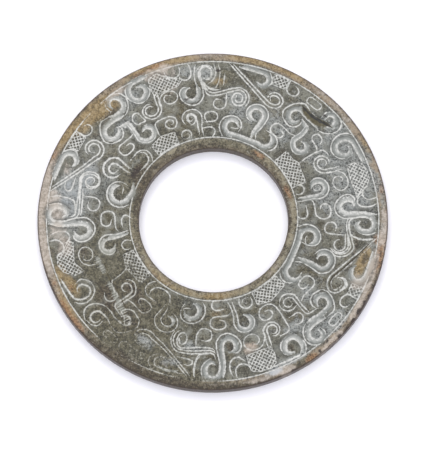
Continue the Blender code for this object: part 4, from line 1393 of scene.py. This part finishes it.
class Stone(Tree):
    """The stone's material, whose colour is laid on layer by layer."""

    def __init__(self, name):
        self.material = bpy.data.materials.new(name)
        self.material.use_nodes = True
        super().__init__(self.material.node_tree)
        self.tree.nodes.clear()
        self.place = self.node("ShaderNodeTexCoord").outputs["Object"]
        # From the broadest clouds to the finest grain
        self.lake, self.tint = self.noise(20.0, 3.0, 0.6), self.noise(13.0, 4.0, 0.6, 0.4)
        self.clouds, self.patches = self.noise(8.0, 4.0, 0.6), self.noise(2.8, 4.0, 0.62, 0.5)
        self.mottle, self.grain = self.noise(1.0, 4.0, 0.7), self.noise(0.5, 3.0, 0.65)
        self.speck = self.noise(0.24, 2.0, 0.6)
        self.colour = None

    def value(self, name):
        """A number carried by the mesh."""
        node = self.node("ShaderNodeAttribute", {"attribute_name": name})
        return Num(self, node.outputs["Fac"])

    def noise(self, size, detail, roughness, distortion=0.0):
        """Cloudy noise between 0 and 1, whose clouds are about size millimetres across."""
        node = self.node(
            "ShaderNodeTexNoise", {"noise_dimensions": "3D"}, Vector=self.place, Scale=1 / (size * MM),
            Detail=detail, Roughness=roughness, Distortion=distortion,
        )
        return Num(self, node.outputs["Fac"])

    def streaks(self, lengthwise, across):
        """Noise drawn out along the cuts."""
        place = self.node("ShaderNodeCombineXYZ", X=lengthwise, Y=across)
        node = self.node(
            "ShaderNodeTexNoise", {"noise_dimensions": "2D"}, Vector=place.outputs[0], Scale=1.0,
            Detail=3.0, Roughness=0.6,
        )
        return Num(self, node.outputs["Fac"])

    def radius(self, centre=(0.0, 0.0)):
        """Distance in millimetres from an upright line through a plan point."""
        middle, level = (centre[0] * MM, centre[1] * MM, 0.0), (1 / MM, 1 / MM, 0.0)
        moved = self.node("ShaderNodeVectorMath", {"operation": "SUBTRACT"}, _0=self.place, _1=middle)
        flat = self.node("ShaderNodeVectorMath", {"operation": "MULTIPLY"}, _0=moved.outputs[0], _1=level)
        length = self.node("ShaderNodeVectorMath", {"operation": "LENGTH"}, _0=flat.outputs[0])
        return Num(self, length.outputs["Value"])

    def mix(self, amount, under, over):
        """One colour over another, each a named tone or a link."""
        under, over = (tone(colour) if isinstance(colour, str) else colour for colour in (under, over))
        node = self.node(
            "ShaderNodeMix", {"data_type": "RGBA", "clamp_factor": True}, _0=amount, _6=under, _7=over,
        )
        return node.outputs[2]

    def lay(self, amount, over):
        """Lays a named tone or a link over the colour so far."""
        self.colour = self.mix(amount, self.colour, over)

    def stain(self, name, breakup, strength, spread=1.6):
        """Lays one kind of stain, whose outline is broken up by a noise."""
        amount = (self.value(name) * 2.0 + (breakup - 0.5) * spread).step(0.35, 1.15)
        self.lay(amount * strength, self.mix(self.mottle.step(0.4, 0.6), "light " + name, "deep " + name))


def carved_ring(s):
    """The mottled stone of the carved ring."""
    s.colour = s.mix(s.clouds.step(0.4, 0.6), "olive stone", "grey stone")
    s.lay(s.tint.step(0.5, 0.66) * 0.65, "ochre stone")
    s.lay((1 - s.tint).step(0.52, 0.66) * 0.5, "blue stone")
    s.lay(s.patches.step(0.48, 0.68) * 0.65, "dark stone")
    s.lay((1 - s.patches).step(0.5, 0.66) * 0.5, "pale stone")
    s.lay(s.lake.step(0.52, 0.64) * s.clouds.step(0.42, 0.58) * 0.45, "white stone")


def plain_rims(s):
    """The browner rims beyond the border lines, darkest at the disc's edge and at the hole."""
    outer, inner = s.radius(), s.radius(INNER_BORDER_CENTRE)
    rim = outer.step(OUTER_BORDER_RADIUS - 0.2, OUTER_BORDER_RADIUS + 0.7)
    collar = 1 - inner.step(INNER_BORDER_RADIUS - 0.7, INNER_BORDER_RADIUS + 0.1)
    s.lay(rim * 0.9, s.mix(s.patches.step(0.4, 0.6), "light rim", "brown rim"))
    s.lay(collar * 0.9, s.mix(s.patches.step(0.4, 0.6), "light collar", "brown collar"))
    edge = outer.step(DISC_RADIUS - 1.1, DISC_RADIUS - 0.1) * s.patches.step(0.25, 0.6)
    s.lay(edge * 0.75, "outer edge")
    s.lay((1 - inner.step(HOLE_RADIUS + 0.4, HOLE_RADIUS + 1.4)) * 0.6, "hole edge")


def stains_and_pores(s):
    """The stains, with the dark pores and pale crusts that show through all but the cream."""
    s.stain("olive", s.patches, 0.85)
    s.stain("golden", s.clouds, 0.85)
    s.stain("film", s.patches, 0.75, 2.2)
    s.stain("brown", s.patches, 0.85)
    s.stain("orange", s.patches, 0.75)
    rough = 1 - s.value("golden") * 0.7
    bare = rough * (1 - s.value("olive") * 0.7)
    s.lay(s.mottle.step(0.5, 0.66) * rough * 0.6, "dark mottle")
    s.lay((1 - s.mottle).step(0.5, 0.66) * bare * 0.4, "pale mottle")
    s.lay(s.grain.step(0.52, 0.63) * s.patches.step(0.36, 0.56) * rough * 0.9, "pores")
    s.lay((1 - s.grain).step(0.55, 0.7) * bare * 0.25, "crust")
    s.stain("cream", s.patches, 0.75, 2.6)
    chalk = (s.value("film") * s.value("bright") * 1.6 - (s.patches - 0.5) * 0.9).step(0.3, 0.95)
    s.lay(chalk * 0.6, "chalk")


def matter_in_cuts(s):
    """The pale film round the cuts, the painted shade beside a broad one and down its slope, and what
    the cuts hold.

    Gives back how much pale matter lies at each place.
    """
    fill, slope, bright = s.value("fill"), s.value("slope"), s.value("bright")
    film = (s.value("halo") + (0.5 - s.patches) * 2.0).step(0.5, 1.4)
    s.lay(film * 0.45, "thin film")
    # Painted shade on the stone just beyond the cuts' lips, where no pale matter lies
    s.lay(s.value("strip") * (1 - fill) * 0.6, "painted groove shade")
    streak = s.streaks(s.value("run") * 0.35, slope * 5.0)
    out = slope + (s.mottle - 0.5) * 0.4 + (streak - 0.5) * slope * 1.6
    matter = s.mix(s.mottle.step(0.42, 0.64), "white matter", "grey matter")
    # Painted shade down a broad cut's slope: the pale matter greys, then darkens, from the deepest line out
    # to the lip, less where it is bright; a lasting cut takes these greys for its own matter
    matter = s.mix((out - bright * 0.38).step(-0.1, 0.45), matter, "dimmed matter and slope shade")
    matter = s.mix((out - bright * 0.12).step(0.35, 0.95), matter, "dull matter and deep slope shade")
    matter = s.mix(bright * 0.35, matter, "bright matter")
    matter = s.mix(s.value("olive").step(0.1, 0.9) * 0.3, matter, "olive matter")
    matter = s.mix(s.value("cream").step(0.2, 0.9) * 0.5, matter, "cream matter")
    held = (fill * 1.3 - (s.grain - 0.5) * 0.7 - (s.mottle - 0.5) * 0.9).step(0.1, 0.85)
    s.lay(held * 0.95, matter)
    # Dark earth, and along one edge of each saw mark painted shade in the same tones
    dark = s.value("dark")
    earth = (dark * (1.8 + (s.patches - 0.5) * 5.0 + (s.mottle - 0.5) * 2.5)).step(0.3, 0.9)
    earth_tone = s.mix(s.mottle.step(0.45, 0.65) * 0.5, "dry earth and saw-edge shade", "damp earth and saw-edge shade")
    deep = (dark + (s.patches - 0.5) * 0.9).step(0.5, 0.9)
    s.lay(earth * 0.9, s.mix(deep, earth_tone, "deep earth and saw-edge shade"))
    return held


def breaks_and_wall(s):
    """The breaks and pits of the edge, and the darker wall below."""
    broken = s.value("broken")
    s.lay(broken * s.mottle.step(0.3, 0.5) * 0.8, "fresh break")
    s.lay(broken * s.grain.step(0.5, 0.58), "break shadow")
    s.stain("pits", s.grain, 0.9)
    s.lay(s.value("wall") * 0.7, "wall")


def jade_material():
    """Grey-green jade gone brown at its edges, with pale matter in the cuts."""
    s = Stone("aged_jade")
    carved_ring(s)
    plain_rims(s)
    stains_and_pores(s)
    held = matter_in_cuts(s)
    breaks_and_wall(s)
    relief = s.grain * 0.5 + s.speck * 0.35 + s.mottle * 0.6
    bump = s.node("ShaderNodeBump", Strength=0.3, Distance=0.0001, Height=relief)
    shader = s.node(
        "ShaderNodeBsdfPrincipled", Base_Color=s.colour, Roughness=0.42 + (s.grain - 0.5) * 0.3 + held * 0.25,
        IOR=1.6, Specular_IOR_Level=0.3, Normal=bump.outputs["Normal"],
    )
    s.node("ShaderNodeOutputMaterial", Surface=shader.outputs[0])
    return s.material


def floor():
    """A plain pale floor."""
    material = bpy.data.materials.new("floor_paper")
    material.use_nodes = True
    shader = material.node_tree.nodes["Principled BSDF"]
    shader.inputs["Base Color"].default_value = FLOOR_COLOUR
    shader.inputs["Roughness"].default_value = 0.9
    shader.inputs["Specular IOR Level"].default_value = 0.1
    mesh = bpy.data.meshes.new("floor")
    corners = [(-1, -1), (1, -1), (1, 1), (-1, 1)]
    height = LOW[2] - FLOOR_DROP
    mesh.from_pydata([(x * FLOOR_REACH, y * FLOOR_REACH, height) for x, y in corners], [], [(0, 1, 2, 3)])
    mesh.materials.append(material)
    made = new_object("floor", mesh)


def studio():
    """A pale even sky, and one soft lamp aimed at the disc's middle."""
    world = bpy.data.worlds.new("studio_air")
    world.use_nodes = True
    background = world.node_tree.nodes["Background"]
    background.inputs["Color"].default_value = SKY_COLOUR
    background.inputs["Strength"].default_value = SKY_STRENGTH
    bpy.context.scene.world = world
    bpy.context.scene.view_settings.view_transform = "Standard"
    lamp = bpy.data.lights.new("key", "AREA")
    lamp.shape, lamp.size, lamp.energy, lamp.color = "SQUARE", LAMP_SIZE, LAMP_POWER, LAMP_COLOUR
    key = new_object("key", lamp)
    key.location = LAMP_PLACE
    key.rotation_euler = (-Vector(LAMP_PLACE)).to_track_quat("-Z", "Y").to_euler()


def camera():
    """The camera, steeply above the disc's near side."""
    lens = bpy.data.cameras.new("view")
    lens.sensor_width, lens.lens = SENSOR_WIDTH, FOCAL_LENGTH
    lens.shift_x, lens.shift_y = LENS_SHIFT
    lens.clip_start, lens.clip_end = CLIP
    made = new_object("view", lens)
    up = math.radians(CAMERA_RISE)
    made.location = (0.0, -CAMERA_AWAY * math.cos(up), CAMERA_AWAY * math.sin(up))
    made.rotation_euler = (math.pi / 2 - up, 0.0, 0.0)
    bpy.context.scene.camera = made


def main():
    """The camera, the studio and its floor, then the disc."""
    camera()
    studio()
    floor()
    cuts = carve()
    cuts += seam()
    cuts += saw_marks()
    cuts += pool_line()
    disc = baked(shell_object(disc_shell(cuts)), worn_surface_tree(jade_material()), WORN_SIZES)
    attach(disc, "root")
    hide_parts("bi_disc")


main()
